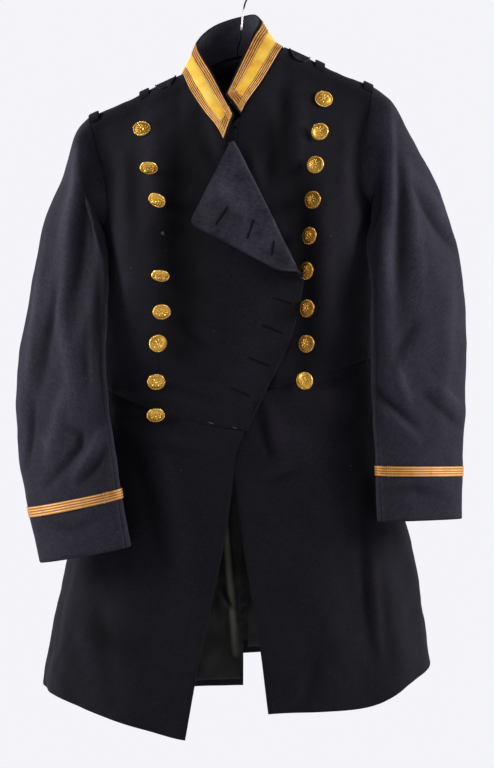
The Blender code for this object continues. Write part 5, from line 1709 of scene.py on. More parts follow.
def cloth_piece(
    name, point, wall, held, rests_on, seams=(), free=(), creases=(), swell=1.0, finishes=("cloth",),
    slot="cloth", inside=None, ring=False, tuck=0.0, extra=0.0, relief=0.0, gap=None, pressed=(), head=0.0,
):
    """One cut piece of cloth: a closed wall on its surface, with rolled seams, rounded edges and creases.

    point gives the surface's points at a distance out. seams and free name the edges that are sewn down and
    the ones that are turned, and pressed the seams that lie flat. extra raises the whole wall, relief only
    its face, and tuck draws the face in. inside says how far from a turned edge the lining starts, and head
    how far from the piece's top.
    """
    base = point(0.0)
    normal = unit(point(1.0) - base)
    away = edge_distances(base)
    folds = crease_rise(base, normal, creases) + extra
    rise = swell_rise(base, swell, CLOTH_SEED) + folds
    dip, roll, rubbed = (np.zeros(rise.shape) for _ in range(3))
    for edge in seams:
        other = away["top" if edge in ("first", "last") else "first"]
        depth = SEAM_DEPTH * (PRESSED if edge in pressed else 1.0)
        dip = np.maximum(dip, depth * bell(away[edge], SEAM_ROLL))
        ripple = np.sin(other * math.tau / PUCKER_STEP + PUCKER_DRIFT * np.sin(other / PUCKER_DRIFT_STEP))
        rise = rise + PUCKER * swell * ripple * bell(away[edge], PUCKER_REACH)
    # Turned edges roll in, and shade is painted along them
    for edge in free:
        roll = np.maximum(roll, EDGE_ROLL * bell(away[edge], EDGE_ROUND))
        rubbed = np.maximum(rubbed, bell(away[edge], EDGE_SHADE_REACH))
    roll = np.minimum(roll, wall * EDGE_MOST)
    face = base + normal * (rise + relief - dip - tuck - roll)[..., None]
    back = base + normal * (rise - wall + roll)[..., None]
    rows, columns = base.shape[:2]
    faces, kind = wall_faces(rows, columns, ring)
    index = np.zeros(len(faces), int)
    if inside is not None:
        edge = np.minimum.reduce([away[e] for e in free]) if free else np.full(rise.shape, np.inf)
        lined = ((edge > inside) & (away["top"] >= head)).reshape(-1)
        corners = faces[kind == 1] - rows * columns
        index[kind == 1] = lined[corners].all(axis=1)
    elif len(finishes) > 1:
        index[kind == 1] = 1
    # These attributes paint light and shade into the colour: light on the creases' ridges and shade in their
    # folds, and shade along the turned edges
    attributes = {"rubbed": rubbed, "fold": np.clip(folds / FULL_FOLD, -1, 1)}
    if gap is not None:
        attributes["gap"] = gap
    cut = np.stack([away["first"], away["top"]], axis=-1).reshape(-1, 2)
    piece = build_mesh(
        f"{name}_dressed", np.concatenate([face.reshape(-1, 3), back.reshape(-1, 3)]), faces, finishes, index,
        np.tile(cut, (2, 1)), {key: np.tile(values.ravel(), 2) for key, values in attributes.items()},
    )
    MADE[name] = hang_on(piece, slot, name)
    sides = np.cross(np.diff(base, axis=1)[:-1], np.diff(base, axis=0)[:, :-1])
    area = np.linalg.norm(sides, axis=-1).sum() * MM * MM
    width, length = away["first"].max() * MM, away["top"].max() * MM
    if ring:
        last = np.linalg.norm(base[:, 0] - base[:, -1], axis=-1)
        area += (last.mean() * length) * MM
        width += last.max() * MM
    return piece


def colour_input(name, description, code):
    return FloatVectorProperty(
        name=name, description=description, subtype="COLOR", size=3, min=0, max=1, default=linear(code)
    )


def length_input(name, description, default, low, high):
    """A length, asked for in metres."""
    return FloatProperty(
        name=name, description=f"{description}, in metres", default=default, min=low, max=high,
        subtype="DISTANCE",
    )


def power_input(name, description, default):
    return FloatProperty(name=name, description=description, default=default, min=0, unit="POWER")


class COAT_PG_cloth(bpy.types.PropertyGroup):
    """Sizes and colours of the broadcloth."""

    body_wall: length_input(
        "Body wall", "Thickness of the body's cloth with its interlining", 0.0022, 0.001, 0.003
    )
    sleeve_wall: length_input("Sleeve wall", "Thickness of the sleeves' cloth", 0.0018, 0.001, 0.003)
    colour: colour_input("Colour", "The lit navy cloth", "#18161c")
    deep_colour: colour_input("Deep colour", "The cloth where it has kept its dye", "#131116")
    nap_colour: colour_input("Nap colour", "The raised nap's streaks", "#242229")
    # The facing's colour is partly its own greyer tone and partly painted light
    facing_colour: colour_input("Facing colour", "The greyer cloth of the lapel's facing", "#45434e")
    # The sleeves' three colours are the body's cloth painted lighter, as painted light
    sleeve_colour: colour_input(
        "Sleeve colour", "The sleeves' cloth, whose nap stands up and takes more light", "#2b2932"
    )
    sleeve_deep: colour_input("Sleeve deep colour", "The sleeves' cloth where its nap lies flat", "#242229")
    sleeve_nap: colour_input("Sleeve nap colour", "The raised nap's streaks on the sleeves", "#3a3842")
    unevenness: FloatProperty(
        name="Unevenness", description="Strength of the cloth's soft swells", default=1.0, min=0, max=2,
        subtype="FACTOR",
    )


class COAT_PG_trim(bpy.types.PropertyGroup):
    """Sizes of lace, buttons and sewing."""

    cord_radius: length_input("Cord radius", "Radius of the lace's raised cords", 0.0007, 0.0001, 0.001)
    rope_beads: IntProperty(
        name="Rope beads", description="Turns of the rope round a button's rim", default=44, min=16, max=80,
    )
    star_rays: IntProperty(
        name="Star rays", description="Rays of the star on a button", default=8, min=4, max=16,
    )
    stitch_pitch: length_input(
        "Stitch pitch", "Distance from stitch to stitch along an edge", 0.0042, 0.001, 0.02
    )


class COAT_PG_stage(bpy.types.PropertyGroup):
    """Light and floor of the stage."""

    key_power: power_input("Key light", "Power of the soft light on the left", 62.0)
    fill_power: power_input("Fill light", "Power of the soft light on the right", 62.0)
    backdrop: colour_input("Backdrop", "The pale studio behind the coat", "#f4f4f9")
    floor_drop: length_input("Floor drop", "How far the floor lies below the hook", 1.5, 1.0, 3.0)


def front_point(side, angle, down):
    """The surface of a front piece, the right ones over the left ones."""
    return lambda out: shell(side, angle, down, front_lift(side, angle, down) + out)


def back_point(side, angle, down):
    """The surface of a back, over the pleat and lapping at the vent."""
    return lambda out: shell(side, angle, down, back_lift(side, angle, down) + out)


def side_fill(side, angle, down):
    """The body's cloth swells a little where a sleeve hangs against it."""
    start, ends = SIDE_FILL_FROM, SIDE_FILL_TO
    reach = ease((down - start[0]) / start[1]) * ease((ends[0] - down) / ends[1])
    return SIDE_FILL[side] * bell(angle - SIDE_FILL_ANGLE, SIDE_FILL_BREADTH) * reach


def cloth_walls():
    coat = bpy.context.scene.coat_cloth
    return coat.body_wall / MM, coat.sleeve_wall / MM, coat.unevenness


class COAT_OT_fronts(bpy.types.Operator):
    """Makes the foreparts, the under lapel and the turned-back upper lapel"""

    bl_idname = "coat.fronts"
    bl_label = "Fronts and lapels"

    def execute(self, context):
        wall, _, swell = cloth_walls()
        for side in (LEFT, RIGHT):

            def first(down, side=side):
                return NECK_CURVES[side](down) - LAPEL_ALLOWANCE[side]

            lines = (level(0.0), level(ARMHOLE_SPAN), WAIST_CURVES[side])
            angle, down = grid_of("forepart", first, armhole_front, *lines)
            cloth_piece(
                named("forepart", side), front_point(side, angle, down), wall, "hung", ["hanger"],
                seams=("first", "last", "bottom"), pressed=("first",), swell=swell,
                creases=BODY_CREASES + (LEFT_CREASES if side == LEFT else ()), finishes=("cloth", "lining"),
                inside=0.0, extra=side_fill(side, angle, down),
            )
        self.under_lapel(wall, swell)
        self.upper_lapel(wall, swell)
        return {"FINISHED"}

    def under_lapel(self, wall, swell):
        """The left lapel, whose top edge runs from the neck's end to its own corner."""
        top = np.array([NECK_FRONT[LEFT][-1], FRONT_EDGE[LEFT][0]], float)
        (angle_neck, angle_corner), (down_neck, down_corner) = front_angle(LEFT, *top.T)

        def upper(angle):
            return mix(down_neck, down_corner, (angle_neck - angle) / (angle_neck - angle_corner))

        angle, down = grid_of("lapel", EDGE_CURVES[LEFT], NECK_CURVES[LEFT], upper, WAIST_CURVES[LEFT])
        cloth_piece(
            "lapel_left", front_point(LEFT, angle, down), wall, "hung", ["forepart_left"],
            seams=("last", "bottom"), free=("first", "top"), creases=BODY_CREASES + LEFT_CREASES,
            swell=swell * SWELL_SHARES["lapel_left"], finishes=("cloth", "facing"),
        )

    def upper_lapel(self, wall, swell):
        """The right lapel, with creases where it lies flat and on the facing that its turned corner shows."""
        along, below, flat, turn, free = LAPEL_GRID
        s = np.concatenate([np.linspace(0, 1, along), 1 + crowded(below, start=False)[1:]])[:, None]
        t = np.concatenate(
            [crowded(flat, end=False), np.linspace(1, 2, turn)[1:], 2 + crowded(free, start=False)[1:]]
        )[None, :]
        place = lapel_point(s, t)
        normal = unit(lapel_point(s, t, 1.0) - place)
        bend = np.clip(1 - np.abs(t - 1.5) * LAPEL_BEND, 0, 1) * (s <= 1)
        turned = -crease_rise(place, -normal, FACING_CREASES) * ((t > 2) & (s <= 1)) * (1 - bend)
        calm = ease((1 - np.clip(t, 0, 1)) * LAPEL_CALM + (s > 1) * LAPEL_CALM)
        lying = crease_rise(place, normal, BODY_CREASES) * calm * (t <= 1)
        cloth_piece(
            "lapel_right", lambda out: lapel_point(s, t, out), wall, "folded", ["forepart_right"],
            seams=("first", "bottom"), free=("last", "top"), pressed=("first",),
            swell=swell * SWELL_SHARES["lapel_right"], finishes=("cloth", "facing"), extra=turned + lying,
        )


class COAT_OT_backs(bpy.types.Operator):
    """Makes the side bodies and the long backs, which lap at the vent"""

    bl_idname = "coat.backs"
    bl_label = "Side bodies and backs"

    def execute(self, context):
        wall, _, swell = cloth_walls()
        for side in (LEFT, RIGHT):
            waist = WAIST_CURVES[side]
            angle, down = grid_of("side_body", armhole_back, BACK_CURVE, level(ARMHOLE_SPAN), waist)
            cloth_piece(
                named("side_body", side), front_point(side, angle, down), wall, "hung", ["hanger"],
                seams=("first", "last", "bottom"), creases=BODY_CREASES, swell=swell,
                finishes=("cloth", "lining"), inside=0.0, extra=side_fill(side, angle, down),
            )

            def centre(down, side=side):
                return mix(180.0, VENT_LAP[side], ease((down - VENT_DOWN) / VENT_LENGTH))

            def neck(angle, side=side):
                return neck_back_down(side, angle)

            lines = (neck, level(ARMHOLE_SPAN), waist, HEM_CURVES[side])
            angle, down = grid_of("back", back_piece_side, centre, *lines)
            cloth_piece(
                named("back", side), back_point(side, angle, down), wall, "hung", ["hanger"],
                seams=("first", "last"), free=("bottom",), creases=BODY_CREASES, swell=swell,
                finishes=("cloth", "lining"), inside=FACING_BREADTH / 2,
            )
        return {"FINISHED"}


class COAT_OT_skirts(bpy.types.Operator):
    """Makes the skirts, from the front edge round to the pleat"""

    bl_idname = "coat.skirts"
    bl_label = "Skirts"

    def execute(self, context):
        wall, _, swell = cloth_walls()

        def rear(down):
            return BACK_SKIRT_CURVE(down) + PLEAT_UNDERLAP * ease((down - PLEAT_DOWN) / PLEAT_LENGTH)

        for side in (LEFT, RIGHT):
            angle, down = grid_of("skirt", EDGE_CURVES[side], rear, WAIST_CURVES[side], HEM_CURVES[side])
            cloth_piece(
                named("skirt", side), front_point(side, angle, down), wall, "hung", ["hanger"],
                seams=("top",), free=("first", "bottom", "last"), creases=BODY_CREASES,
                swell=swell * SWELL_SHARES["skirt"], finishes=("cloth", "lining"), inside=FACING_BREADTH,
                extra=side_fill(side, angle, down),
            )
        return {"FINISHED"}


class COAT_OT_sleeves(bpy.types.Operator):
    """Makes the two-piece sleeves"""

    bl_idname = "coat.sleeves"
    bl_label = "Sleeves"

    def fill(self, side, turn, along):
        """The sleeve's inner side swells where it hangs against the body, most below the armpit."""
        turn = np.mod(turn, 360)
        end, fade = SLEEVE_FILL_TO
        reach = ease(along / SLEEVE_FILL_FROM) * ease((end - along) / fade)
        against = SLEEVE_FILL * bell(turn - SLEEVE_FILL_TURN, SLEEVE_FILL_BREADTH) * reach
        pit = ARMPIT_FILL[side] * bell(turn - ARMPIT_TURN, ARMPIT_BREADTH)
        return against + pit * bell(along - ARMPIT_ALONG, ARMPIT_LENGTH) * ease(along / ARMPIT_FROM)

    def execute(self, context):
        _, wall, swell = cloth_walls()
        rows, under_columns, top_columns = SLEEVE_GRID
        front, back = SLEEVE_SEAM_FRONT, SLEEVE_SEAM_BACK
        for side in (LEFT, RIGHT):
            sleeve = SLEEVES_MADE[side]
            along = np.concatenate([[0.0], crowded(rows)])[:, None] * sleeve.last
            tuck = np.zeros(along.shape)
            tuck[0] = ARMHOLE_TUCK
            head, cuff = SLEEVE_CALM
            calm = ease(along / head) * ease((sleeve.last - along) / cuff)
            for piece, first, last, columns in (
                ("under_sleeve", front - SLEEVE_ALLOWANCE, back + SLEEVE_ALLOWANCE, under_columns),
                ("top_sleeve", back - 360, front, top_columns),
            ):
                turn = mix(first, last, crowded(columns))[None, :]
                inward = np.zeros((len(along), turn.size, 3))
                inward[0, :, 0] = -side * ARMHOLE_ALLOWANCE

                def point(out, turn=turn, inward=inward):
                    return sleeve.point(along, turn, out) + inward

                place = point(0.0)
                creases = crease_rise(place, unit(point(1.0) - place), SLEEVE_CREASES)
                cloth_piece(
                    named(piece, side), point, wall, "hung", ["hanger", named("forepart", side)],
                    seams=("first", "last", "top"), free=("bottom",), swell=swell * SWELL_SHARES["sleeve"],
                    finishes=("sleeve", "lining"), inside=FACING_BREADTH, tuck=tuck, head=SLEEVE_HEAD,
                    extra=creases * calm + self.fill(side, turn, along),
                )
        return {"FINISHED"}


def lace_piece(name, point, across, wall, **more):
    """Lace whose brown lines, partly painted shade, lie between and beside its cords, at these shares across
    it.
    """
    gap = np.max([bell(across - line, LACE_LINE) for line in LACE_LINES], axis=0)
    gap = np.broadcast_to(gap, point(0.0).shape[:2])
    return cloth_piece(
        name, point, wall, "stretched", finishes=("lace",), slot="lace", swell=0.0,
        relief=-LACE_LINE_DEPTH * gap, gap=gap, **more,
    )


def open_tree(name, inputs):
    """A node group that takes a geometry, these values and a material: the group, the names of its sockets,
    and the sockets."""
    tree = bpy.data.node_groups.new(name, "GeometryNodeTree")
    new_socket, sockets = tree.interface.new_socket, {}
    new_socket("Geometry", in_out="INPUT", socket_type="NodeSocketGeometry")
    for label, kind in (*inputs, ("Material", "Material")):
        sockets[label] = new_socket(label, in_out="INPUT", socket_type=f"NodeSocket{kind}").identifier
    new_socket("Geometry", in_out="OUTPUT", socket_type="NodeSocketGeometry")
    return tree, sockets, add(tree, "NodeGroupInput").outputs


def close_tree(tree, geometry, material):
    """Makes the group's geometry real, gives it its material and hands it out."""
    whole = add(tree, "GeometryNodeRealizeInstances", {"Geometry": geometry}).outputs[0]
    painted = add(tree, "GeometryNodeSetMaterial", {"Geometry": whole, "Material": material}).outputs[0]
    add(tree, "NodeGroupOutput", {"Geometry": painted})


def spline_tree():
    """Geometry Nodes: cords along the edges of a mesh."""
    tree, sockets, start = open_tree("Coat cords", (("Radius", "Float"), ("Sides", "Int")))
    line = add(tree, "GeometryNodeMeshToCurve", {"Mesh": start["Geometry"]}).outputs[0]
    circle = {"Resolution": start["Sides"], "Radius": start["Radius"]}
    ring = add(tree, "GeometryNodeCurvePrimitiveCircle", circle).outputs["Curve"]
    cord = {"Curve": line, "Profile Curve": ring, "Fill Caps": True}
    close_tree(tree, add(tree, "GeometryNodeCurveToMesh", cord).outputs[0], start["Material"])
    return tree, sockets


def stitch_tree():
    """Geometry Nodes: stitches along the edges of a mesh, each lying on the cloth that its line follows."""
    lengths = [(label, "Float") for label in ("Pitch", "Length", "Breadth", "Height", "Wander")]
    tree, sockets, start = open_tree("Coat stitches", (*lengths, ("Seed", "Int")))
    line = add(tree, "GeometryNodeMeshToCurve", {"Mesh": start["Geometry"]}).outputs[0]
    even = add(tree, "GeometryNodeResampleCurve", {"Curve": line, "Length": start["Pitch"]}, mode="LENGTH")
    facing = add(tree, "GeometryNodeInputNamedAttribute", {"Name": "facing"}, data_type="FLOAT_VECTOR")
    along = add(tree, "GeometryNodeInputTangent").outputs[0]
    lie = add(tree, "FunctionNodeAlignRotationToVector", {"Vector": facing.outputs["Attribute"]}, axis="Z")
    turn = add(
        tree, "FunctionNodeAlignRotationToVector", {"Rotation": lie.outputs[0], "Vector": along},
        axis="X", pivot_axis="Z",
    )
    low = add(tree, "ShaderNodeMath", {0: 1.0, 1: start["Wander"]}, operation="SUBTRACT").outputs[0]
    high = add(tree, "ShaderNodeMath", {0: 1.0, 1: start["Wander"]}, operation="ADD").outputs[0]
    drift = add(tree, "FunctionNodeRandomValue", {2: low, 3: high, "Seed": start["Seed"]}, data_type="FLOAT")
    length = add(
        tree, "ShaderNodeMath", {0: start["Length"], 1: drift.outputs[1]}, operation="MULTIPLY",
    ).outputs[0]
    size = add(tree, "ShaderNodeCombineXYZ", {0: length, 1: start["Breadth"], 2: start["Height"]})
    bead = add(tree, "GeometryNodeMeshUVSphere", {"Segments": 6, "Rings": 4, "Radius": 0.5})
    made = add(
        tree, "GeometryNodeInstanceOnPoints",
        {"Points": even.outputs[0], "Instance": bead.outputs["Mesh"], "Rotation": turn.outputs[0],
         "Scale": size.outputs[0]},
    )
    close_tree(tree, made.outputs[0], start["Material"])
    return tree, sockets


def button_tree():
    """Geometry Nodes: what is stamped on a button: a rope round the rim, a ring of pearls and a star."""
    inputs = (("Radius", "Float"), ("Dome", "Float"), ("Rope Beads", "Int"), ("Star Rays", "Int"))
    tree, sockets, start = open_tree("Coat button face", inputs)
    index = add(tree, "GeometryNodeInputIndex").outputs[0]
    join = add(tree, "GeometryNodeJoinGeometry")
    ball = {"Segments": 8, "Rings": 6, "Radius": start["Radius"]}
    for reach, rise, counted, times, *size, skew in STAMPS:
        if counted:
            count = add(
                tree, "ShaderNodeMath", {0: start[counted], 1: times}, operation="MULTIPLY",
            ).outputs[0]
            radius = add(
                tree, "ShaderNodeMath", {0: start["Radius"], 1: reach}, operation="MULTIPLY",
            ).outputs[0]
            circle = add(tree, "GeometryNodeMeshCircle", {"Vertices": count, "Radius": radius}).outputs[0]
            turn = {
                2: add(
                    tree, "ShaderNodeMath",
                    {
                        0: add(tree, "ShaderNodeMath", {0: index, 1: count}, operation="DIVIDE").outputs[0],
                        1: math.tau, 2: skew,
                    },
                    operation="MULTIPLY_ADD",
                ).outputs[0]
            }
        else:
            circle, turn = add(tree, "GeometryNodePoints", {"Count": 1}).outputs[0], {}
        height = add(tree, "ShaderNodeMath", {0: start["Dome"], 1: rise}, operation="MULTIPLY").outputs[0]
        offset = add(tree, "ShaderNodeCombineXYZ", {2: height}).outputs[0]
        raised = add(tree, "GeometryNodeSetPosition", {"Geometry": circle, "Offset": offset}).outputs[0]
        bead = add(tree, "GeometryNodeMeshUVSphere", ball).outputs[0]
        rotation = add(tree, "ShaderNodeCombineXYZ", turn).outputs[0]
        beads = {"Points": raised, "Instance": bead, "Rotation": rotation, "Scale": size}
        tree.links.new(add(tree, "GeometryNodeInstanceOnPoints", beads).outputs[0], join.inputs[0])
    tree.links.new(start["Geometry"], join.inputs[0])
    close_tree(tree, join.outputs[0], start["Material"])
    return tree, sockets


TREES = {}


def grown(name, maker, points, edges, values, attributes, faces=()):
    """The plain mesh that a tree makes from these points and edges, in metres."""
    if maker not in TREES:
        TREES[maker] = maker()
    tree, sockets = TREES[maker]
    seed = bpy.data.meshes.new(name)
    seed.from_pydata((np.asarray(points, float) * MM).tolist(), list(edges), list(faces))
    for key, data in attributes.items():
        kind, field = ("FLOAT", "value") if data.ndim == 1 else ("FLOAT_VECTOR", "vector")
        seed.attributes.new(key, kind, "POINT").data.foreach_set(field, data.astype(np.float32).ravel())
    holder = shown(name, seed)
    modifier = holder.modifiers.new(name, "NODES")
    modifier.node_group = tree
    for label, value in values.items():
        modifier[sockets[label]] = value
    bpy.context.view_layer.update()
    result = bpy.data.meshes.new_from_object(holder.evaluated_get(bpy.context.evaluated_depsgraph_get()))
    holder.modifiers.clear()
    bpy.data.objects.remove(holder)
    result.name = name
    return result


def show_mesh(name, mesh):
    mesh.shade_smooth()
    return shown(name, mesh)


def chains(lines):
    """Points and edges of several open lines."""
    points, edges = [], []
    for line in lines:
        first = len(points)
        points.extend(line)
        edges.extend((first + i, first + i + 1) for i in range(len(line) - 1))
    return points, edges


def cords(name, lines, radius, finish_name, slot, sides=6):
    values = {"Radius": radius * MM, "Sides": sides, "Material": finish(finish_name)}
    return hang_on(show_mesh(name, grown(name, spline_tree, *chains(lines), values, {})), slot)


def stitches(name, rows, pitch, size, finish_name, slot="cloth", wander=0.15, seed=3):
    """Stitches along rows on the cloth, each a line and how the cloth faces along it; size is along, across
    and upright, in millimetres."""
    lines, facings = zip(*rows)
    length, breadth, height = (part * MM for part in size)
    values = {
        "Pitch": pitch * MM, "Length": length, "Breadth": breadth, "Height": height, "Wander": wander,
        "Seed": seed, "Material": finish(finish_name),
    }
    mesh = grown(name, stitch_tree, *chains(lines), values, {"facing": np.concatenate(facings)})
    return hang_on(show_mesh(name, mesh), slot)


class COAT_OT_collar(bpy.types.Operator):
    """Makes the stand collar, its yellow field and the lace round it"""

    bl_idname = "coat.collar"
    bl_label = "Collar and its lace"

    def execute(self, context):
        collar = Collar()
        rows, columns = GRIDS["collar"]
        share = crowded(columns)[None, :]
        foot = COLLAR_FOOT + COLLAR_FOOT_BEHIND * np.sin(math.pi * np.clip(share, 0, 1)) ** 2
        up = mix(foot, 1.0, crowded(rows)[:, None])
        # The collar's inside takes the lighter facing cloth: painted light where it lies in shade
        cloth_piece(
            "collar", lambda out: collar.point(share, up, out), COLLAR_WALL, "folded",
            ["back_left", "back_right"], free=("first", "last", "bottom"), seams=("top",), swell=0.0,
            finishes=("cloth", "facing"),
        )
        _, edge, low = COLLAR_ENDS
        _, bottom, bottom_top, top_bottom, top, _ = COLLAR_ROWS
        strips = (
            ("collar_lace_bottom", (edge, 1 - edge), (bottom, bottom_top), False),
            ("collar_lace_top", (edge, 1 - edge), (top, top_bottom), False),
            ("collar_lace_end_right", (edge, low), (bottom, top), True),
            ("collar_lace_end_left", (1 - edge, 1 - low), (bottom, top), True),
        )
        across = np.linspace(0, 1, LACE_ROWS)
        lines = []
        for name, columns, levels, upright in strips:
            over = LACE_OVERLAP if upright else 0.0
            if upright:
                s, v = mix(*columns, across)[None, :], np.linspace(*levels, LACE_SHORT)[:, None]
            else:
                s, v = np.linspace(*columns, LACE_LONG)[None, :], mix(*levels, across)[:, None]
            width = across[None, :] if upright else across[:, None]
            lace_piece(
                name, lambda out: collar.point(s, v, COLLAR_LACE_OUT + over + out), width, LACE_WALL,
                rests_on=["collar"],
            )
            for place in LACE_CORDS:
                if upright:
                    s, v = mix(*columns, place), np.linspace(*levels, CORD_SHORT)
                else:
                    s, v = np.linspace(*columns, CORD_LONG), mix(*levels, place)
                lines.append(collar.point(s, v, COLLAR_CORD_OUT + over))
        cords("collar_lace_cords", lines, context.scene.coat_trim.cord_radius / MM, "cord", "lace")
        rows, columns = GRIDS["collar_field"]
        s = np.linspace(low - FIELD_UNDER_ENDS, 1 - low + FIELD_UNDER_ENDS, columns)[None, :]
        v = np.linspace(bottom_top - FIELD_UNDER_ROWS, top_bottom + FIELD_UNDER_ROWS, rows)[:, None]
        puff = FIELD_PUFF * np.sin(math.pi * np.linspace(0, 1, rows))[:, None]
        cloth_piece(
            "collar_field", lambda out: collar.point(s, v, FIELD_OUT + out), FIELD_WALL, "stretched",
            ["collar"], finishes=("field",), slot="field", swell=SWELL_SHARES["field"], extra=puff,
        )
        return {"FINISHED"}


class COAT_OT_cuff_lace(bpy.types.Operator):
    """Makes the ring of gold lace round each cuff"""

    bl_idname = "coat.cuff_lace"
    bl_label = "Cuff lace"

    def execute(self, context):
        lines, ends = [], []
        for side in (LEFT, RIGHT):
            sleeve = SLEEVES_MADE[side]
            outer_line = sleeve.plain(np.linspace(CUFF_SECTION, sleeve.last, 60), 0.0)
            per_section = steps_of(outer_line)[-1] / (sleeve.last - CUFF_SECTION)
            low = sleeve.last - CUFF_LACE_UP[side] / per_section
            high = low - CUFF_LACE / per_section

            def level_at(place, turn, high=high, low=low, slant=LACE_SLANT / per_section):
                return mix(high, low, place) - slant * (1 - np.cos(np.radians(turn)))

            closed = np.linspace(0, 360, CUFF_COLUMNS + 1)
            turn = closed[None, :-1]
            across = np.linspace(0, 1, LACE_ROWS)[:, None]
            v = level_at(across, turn)
            lace_piece(
                named("cuff_lace", side), lambda out: sleeve.point(v, turn, CUFF_LACE_OUT + out),
                across, CUFF_LACE_WALL, rests_on=[named("top_sleeve", side)], ring=True,
            )
            lines += [sleeve.point(level_at(place, closed), closed, CUFF_CORD_OUT) for place in LACE_CORDS]
            for before in CUFF_JOIN:
                at = SLEEVE_SEAM_FRONT - before
                way = level_at(np.linspace(0, 1, 12), at)
                place = sleeve.point(way, at, CUFF_STITCH_OUT)
                ends.append((place, unit(sleeve.point(way, at, CUFF_STITCH_OUT + 1) - place)))
        cords("cuff_lace_cords", lines, context.scene.coat_trim.cord_radius / MM, "cord", "lace")
        stitches("cuff_lace_stitches", ends, 1.1, (1.0, 0.5, 0.4), "lace thread", "lace")
        return {"FINISHED"}


class COAT_OT_shoulders(bpy.types.Operator):
    """Makes the loops and the round-ended patches for epaulettes, with the patches' eyelets"""

    bl_idname = "coat.shoulders"
    bl_label = "Shoulder loops and patches"

    def execute(self, context):
        eyelets, rims = [], []
        for side in (LEFT, RIGHT):
            forepart, patch = named("forepart", side), named("patch", side)
            for where, place in LOOP_PLACES.items():
                point = strip_point(
                    side, place, LOOP_WIDTH / 2, (LOOP_REACH + LOOP_FRONT, LOOP_REACH),
                    lambda v: LOOP_ENDS[where] + arched(v), *GRIDS["loop"],
                )
                cloth_piece(
                    named(f"loop_{where}", side), point, TAPE_WALL, "stretched", [forepart],
                    free=("first", "last"), swell=0.0,
                )
            point = strip_point(
                side, PATCH_PLACE, PATCH_RADIUS, (PATCH_REACH + PATCH_FRONT, PATCH_REACH),
                lambda v: PATCH_LIFT, *GRIDS["patch"], PATCH_ROUND,
            )
            cloth_piece(
                patch, point, TAPE_WALL, "stretched", [forepart], free=("first", "last", "top", "bottom"),
                swell=SWELL_SHARES["patch"],
            )
            edge = point(PATCH_RIM_OUT)
            rims.append(np.concatenate(
                [edge[0, 1:-1], edge[:, -1], edge[-1, -2:0:-1], edge[::-1, 0], edge[:1, 1]]
            ))
            eyelets.append(round_on_cloth([patch, forepart], PATCH_EYELETS[side], EYELET_RADIUS))
        stitches("patch_eyelets", eyelets, 0.8, (0.6, 1.5, 0.7), "pale thread")
        cords("patch_rims", rims, PATCH_RIM, "facing", "cloth")
        return {"FINISHED"}


def strip_point(side, place, half_width, reach, lift, rows, columns, pull=0.0):
    """The surface of a small piece laid over the shoulder ridge; reach is how far in front and behind."""
    x_neck = NECK_MIDDLE + side * NECK_HALF
    x_end = SHELL_CURVES["middle"](0.0) + side * SHELL_CURVES["half"](0.0)
    middle = mix(x_neck, x_end, place)

    def point(out):
        face = []
        for v in mix(-1, 1, crowded(rows)):
            down = down_of(max(abs(v) * reach[0 if v <= 0 else 1], TOP_EDGE_RUN))
            half = half_width * (1 - pull + pull * math.sqrt(max(1 - v * v, 0.0)))
            angle = angle_at(side, middle + mix(-half, half, crowded(columns)), down)
            face.append(shell(side, angle if v <= 0 else 180 - angle, down, lift(v) + TAPE_WALL + out))
        return np.array(face)

    return point


COVERS = {}


def cover_of(name):
    """A piece's surface, to lay small things on."""
    if name not in COVERS:
        mesh = MADE[name].data
        faces = [face.vertices for face in mesh.polygons]
        COVERS[name] = BVHTree.FromPolygons([corner.co for corner in mesh.vertices], faces)
    return COVERS[name]


def view_hit(names, place):
    """Where a line of sight through a place of the view meets the nearest of these pieces, and its facing."""
    across, up = (place[0] - VIEW_SIZE[0] / 2) * VIEW_SCALE, (VIEW_SIZE[1] / 2 - place[1]) * VIEW_SCALE
    sight = Vector((across, -CAMERA[1], up)).normalized()
    best = None
    for name in names:
        spot, facing, _, reach = cover_of(name).ray_cast(Vector(CAMERA) * MM, sight)
        if spot is not None and (best is None or reach < best[2]):
            best = (np.array(spot) / MM, np.array(facing), reach)
    if best is None:
        raise RuntimeError(f"no cloth of {names} is seen at {place}")
    return best[0], best[1]


def laid_on(names, places, rise):
    """Places of the view laid this far over the cloth, with the way that the cloth faces there."""
    spots, facings = (np.array(parts) for parts in zip(*(view_hit(names, place) for place in places)))
    return spots + facings * rise, facings


def line_on_cloth(names, ends, count, rise=0.25):
    """A line of the view laid on the cloth, with the way that the cloth faces along it."""
    ends = np.array(ends, float)
    steps = np.linspace(0, len(ends) - 1, count)
    places = np.stack([np.interp(steps, range(len(ends)), part) for part in ends.T], axis=-1)
    return laid_on(names, places, rise)


def round_on_cloth(names, middle, radius, count=25, long=0.0, way=(1.0, 0.0), rise=0.25):
    """A ring, or a long loop, laid on the cloth round a place of the view."""
    way = np.array(way, float)
    side = np.array([-way[1], way[0]])
    places = []
    for turn in np.linspace(0, math.tau, count):
        ahead = math.cos(turn) * radius + math.copysign(long, math.cos(turn))
        places.append(np.array(middle, float) + (way * ahead + side * math.sin(turn) * radius) / VIEW_SCALE)
    return laid_on(names, places, rise)


def laid(name, point, rise=0.2):
    """A line of a piece's smooth surface, laid on its creased cloth, and how the cloth faces along it."""
    line = point(0.0)
    out = unit(point(1.0) - line)
    places = []
    for p, n in zip(line, out):
        spot = cover_of(name).ray_cast(Vector((p + n * CAST_FROM) * MM), Vector(-n))[0]
        places.append(p if spot is None else np.array(spot) / MM)
    return np.array(places) + out * rise, out


